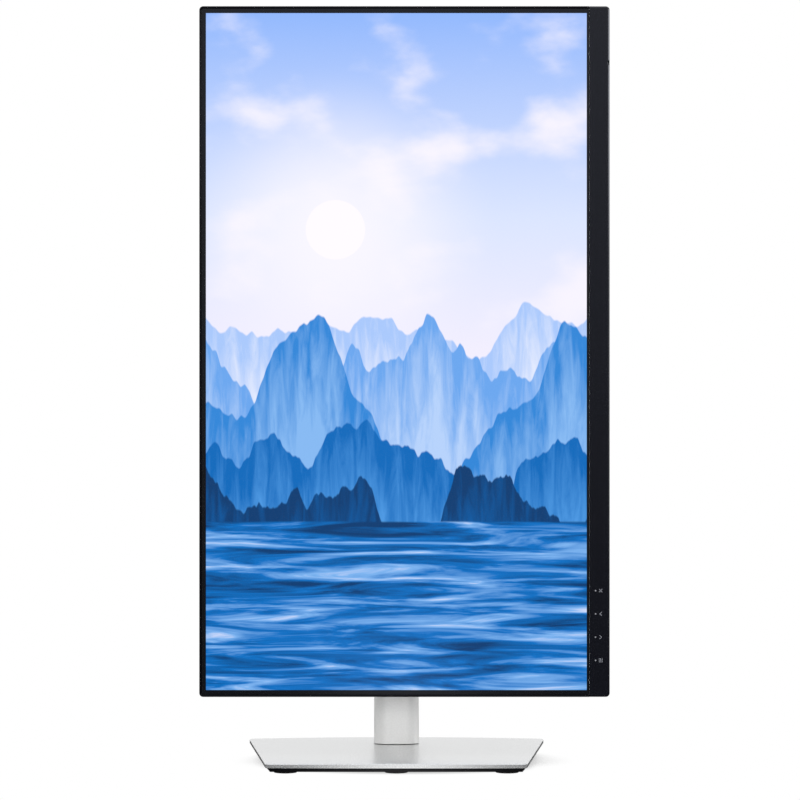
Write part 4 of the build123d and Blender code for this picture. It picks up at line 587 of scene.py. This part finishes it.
boardLow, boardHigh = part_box("main_board")
powerLow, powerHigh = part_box("power_board")
boardSettings = {"partsFrom": 1.7, "tallFrom": 5}    # from the solder side, in mm


def componentBoxes(low, high, first, second):
    # everything proud of the board, with the taller parts in a second colour
    return [((low.x, low.y + boardSettings[start] * mm, low.z),
             (high.x, high.y + mm, high.z), hexColour)
            for start, hexColour in (("partsFrom", first), ("tallFrom", second))]


usbLow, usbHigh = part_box("usb_ports")
videoLow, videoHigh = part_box("video_ports")
inletLow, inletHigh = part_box("ac_inlet")
# Mouths: place along the display from its middle, width and depth, in mm. A tongue is a share
# of its mouth's width and depth.
portSettings = {
    "usb": ((-10, 12.2, 11), (10, 13.4, 6), (32, 13.4, 6)),
    "usbDeep": 0.35,
    "video": ((-54, 15.2, 5.8), (-32, 16.4, 5.4)),
    "videoDeep": 0.25,
    "wide": 0.7,
    "spare": 0.1,
}
inletSettings = {
    "place": 118,
    "blades": ((-7, 0), (0, -3), (7, 0)),    # along the display and in depth
    "halfWide": 1.1,
    "halfDeep": 2.1,
    "start": 5,
}
pivotZ = (panelLow.z + panelHigh.z) / 2 / mm


def tongue(low, high, middle, width, thick, tall):
    # block in a connector's mouth, from the mouth's place and the block's width and thickness
    centre = low.y + tall * mm / 2
    return ((low.x, centre - thick * mm / 2, middle * mm - width * mm / 2),
            (high.x + mm, centre + thick * mm / 2, middle * mm + width * mm / 2))


def tongues(low, high, mouths, deep):
    spare = portSettings["spare"]
    return [tongue(low, high, pivotZ + place, width * portSettings["wide"] + spare,
                   tall * deep + spare, tall) for place, width, tall in mouths]


usbTongues = tongues(usbLow, usbHigh, portSettings["usb"], portSettings["usbDeep"])
videoTongues = tongues(videoLow, videoHigh, portSettings["video"], portSettings["videoDeep"])
inletMiddle = (inletLow.y + inletHigh.y) / 2
blades = []
for side, drop in inletSettings["blades"]:
    depth = inletMiddle + drop * mm
    along = pivotZ + inletSettings["place"] + side
    halfDeep, halfWide = inletSettings["halfDeep"] * mm, inletSettings["halfWide"] * mm
    blades.append((
        (inletLow.x + inletSettings["start"] * mm, depth - halfDeep, along * mm - halfWide),
        (inletHigh.x, depth + halfDeep, along * mm + halfWide)))

silverPaint = makeSatinSilverPaint()
silverAbs = makeSilverAbs()
rearAbs = makeCharcoalAbs("sparkErodedCharcoalAbs", 0.0011, 0.00006, (0.5, 0.62))
hingeAbs = makeCharcoalAbs("fineCharcoalAbs", 0.0007, 0.00003, (0.46, 0.56))
chinAbs = makeFrameAbs("satinCharcoalAbs", "#07080d", "#0a0b11", 0.5)
lipAbs = makeFrameAbs("satinBlackAbs", "#040407", "#060609", 0.15)
blackPlastic = makeBlackPlastic()
rubber = makeRubber()
zincSteel = makeZincSteel()
polishedSteel = makePolishedSteel()
castAlloy = makeCastAlloy()
acetal = makeAcetal()
film = makeFilm()
finishes = {
    "base_top_plate": silverPaint, "base_undertray": blackPlastic,
    "base_ballast": makeBallastSteel(), "rubber_feet": rubber,
    "swivel_hub": zincSteel, "swivel_washer": acetal, "swivel_retainer": zincSteel,
    "retainer_screws": polishedSteel, "thumbscrew": polishedSteel,
    "thumbscrew_bail": blackPlastic, "neck_foot_collar": silverAbs,
    "neck_front_cover": silverAbs, "neck_rear_cover": silverAbs, "neck_top_cap": silverAbs,
    "slot_guide": blackPlastic, "cable_slot_liner": blackPlastic, "column_core": zincSteel,
    "slide_rail_outer": zincSteel, "slide_rail_inner": zincSteel, "ball_cage": zincSteel,
    "rail_balls": polishedSteel, "spring_axle": zincSteel, "lift_spring_spool": acetal,
    "lift_spring_coil": polishedSteel, "lift_spring_strip": polishedSteel,
    "carriage_arm": castAlloy, "tilt_axle": polishedSteel, "tilt_springs": polishedSteel,
    "tilt_yoke": zincSteel, "hinge_washers": acetal, "hinge_cover": hingeAbs,
    "pivot_flange": zincSteel, "pivot_nut": zincSteel, "stand_plate": zincSteel,
    "release_catch": hingeAbs, "vesa_bracket": zincSteel, "vesa_inserts": makeBrass(),
    "display_screws": polishedSteel, "panel_chassis": zincSteel,
    "reflector_sheet": film, "diffuser_sheets": film,
    "light_guide_plate": makeAcrylic("clearCastAcrylic", "#cfdbe2", "#dfe8ec", 0.0),
    "lcd_glass": makeAcrylic("floatGlass", "#0a0b0c", "#101214", 0.0),
    "led_strip": makeBoard("ledStripBoard", []),
    "key_light_pipes": makeAcrylic("smokedAcrylicPipe", "#6f7074", "#85868a", 0.0),
    "key_boards": makeBoard("keyBoard", []),
    "main_board": makeBoard("mainBoard", componentBoxes(
        boardLow, boardHigh, "#101012", "#8b8e92")),
    "power_board": makeBoard("powerBoard", componentBoxes(
        powerLow, powerHigh, "#151517", "#3a3128")),
    "video_ports": makePortMetal("nickelVideoShells", videoTongues),
    "usb_ports": makePortMetal("nickelUsbShells", usbTongues),
    "ac_inlet": makeInletPlastic(blades),
    "front_polariser": makeScreen(pictureLow, pictureHigh),
    "front_frame": lipAbs, "chin_bezel": chinAbs, "rear_cover": rearAbs,
    "power_button": blackPlastic, "joystick_switch": blackPlastic,
    "joystick_plunger": blackPlastic, "joystick_gimbal": zincSteel, "joystick_cap": blackPlastic,
}
print("materials ready")

# Marks printed beside the key lights: bars, two chevrons and a cross. Each is a list of
# strokes between two points, in parts of the mark's size.
keyMarkSettings = {"fromLight": 4.0, "size": 2.8, "stroke": 0.42, "ink": 0.04}    # in mm
keyMarks = [
    [((-0.4, -0.5), (-0.4, 0.5)), ((0, -0.5), (0, 0.5)), ((0.4, -0.5), (0.4, 0.5))],
    [((-0.3, -0.5), (0.3, 0)), ((0.3, 0), (-0.3, 0.5))],
    [((0.3, -0.5), (-0.3, 0)), ((-0.3, 0), (0.3, 0.5))],
    [((-0.4, -0.4), (0.4, 0.4)), ((-0.4, 0.4), (0.4, -0.4))],
]


def inkStroke(start, end, width, thick, faceY):
    # flat bar with round ends on the bezel's face, from one point to the other
    run = Vector((end[0] - start[0], 0, end[1] - start[1]))
    bpy.ops.object.select_all(action="DESELECT")
    bpy.ops.mesh.primitive_cube_add(
        size=1, rotation=(0, -math.atan2(run.z, run.x), 0),
        location=((start[0] + end[0]) / 2, faceY - thick / 2, (start[1] + end[1]) / 2))
    stroke = bpy.context.object
    stroke.scale = (run.length + width, thick, width)
    bpy.ops.object.transform_apply(location=False, rotation=False, scale=True)
    corners = stroke.data.vertices
    bpy.ops.object.mode_set(mode="EDIT")
    bpy.ops.mesh.select_all(action="DESELECT")
    bpy.ops.mesh.select_mode(type="EDGE")
    bpy.ops.object.mode_set(mode="OBJECT")
    for edge in stroke.data.edges:
        a, b = [corners[i].co for i in edge.vertices]
        edge.select = abs(a.y - b.y) > thick / 2
    bpy.ops.object.mode_set(mode="EDIT")
    bpy.ops.mesh.bevel(offset=width * 0.49, segments=4)
    bpy.ops.object.mode_set(mode="OBJECT")
    bpy.ops.object.transform_apply(location=True, rotation=True)
    return stroke


lightLow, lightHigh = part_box("key_light_pipes")
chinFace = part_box("chin_bezel")[0].y
lightRadius = (lightHigh.x - lightLow.x) / 2
markX = (lightLow.x + lightHigh.x) / 2 + keyMarkSettings["fromLight"] * mm
markSize = keyMarkSettings["size"] * mm
strokes = []
for number, mark in enumerate(keyMarks):
    markZ = (lightLow.z + lightRadius) + number / (len(keyMarks) - 1) * (
        lightHigh.z - lightLow.z - 2 * lightRadius)
    for start, end in mark:
        strokes.append(inkStroke(
            (markX + start[0] * markSize, markZ + start[1] * markSize),
            (markX + end[0] * markSize, markZ + end[1] * markSize),
            keyMarkSettings["stroke"] * mm, keyMarkSettings["ink"] * mm, chinFace))
bpy.ops.object.select_all(action="DESELECT")
for stroke in strokes:
    stroke.select_set(True)
bpy.context.view_layer.objects.active = strokes[0]
bpy.ops.object.join()
keyPrint = bpy.context.object
keyPrint.name = "keyPrint"
bpy.ops.object.transform_apply(location=True, rotation=True, scale=True)
keyPrint.data.materials.append(makePrintInk())
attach(keyPrint, "display")
print("key marks printed")

# The lift spring's free strip winds onto its coil; in the stand its top stays with the column and
# its foot goes with the carriage.
# Here it is one fixed thin sheet with rounded edges, in the place of the imported strip.
stripSettings = {"rows": 48, "columns": 4, "edge": 0.08}    # edge in mm
stripLow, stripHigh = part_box("lift_spring_strip")
stripMiddle = (stripLow + stripHigh) / 2
stripThickness = stripHigh.y - stripLow.y
bpy.ops.object.select_all(action="DESELECT")
bpy.ops.mesh.primitive_grid_add(
    x_subdivisions=stripSettings["columns"], y_subdivisions=stripSettings["rows"], size=1,
    location=(stripMiddle.x, stripLow.y, stripMiddle.z), rotation=(math.radians(90), 0, 0))
springStrip = bpy.context.object
springStrip.name = "springStrip"
springStrip.scale = (stripHigh.x - stripLow.x, stripHigh.z - stripLow.z, 1)
bpy.ops.object.transform_apply(location=True, rotation=True, scale=True)
sheet = springStrip.modifiers.new("sheet", "SOLIDIFY")
sheet.thickness, sheet.offset = stripThickness, -1
rounded = springStrip.modifiers.new("rounded", "BEVEL")
rounded.width, rounded.segments = stripSettings["edge"] * mm, 2
for modifier in ("sheet", "rounded"):
    bpy.ops.object.modifier_apply(modifier=modifier)
springStrip.data.materials.append(polishedSteel)
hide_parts("lift_spring_strip")
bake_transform(springStrip)
print("spring strip ready")

for name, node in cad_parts.items():
    node.data.materials.clear()
    node.data.materials.append(finishes[name])
print("finishes on", len(finishes), "nodes")
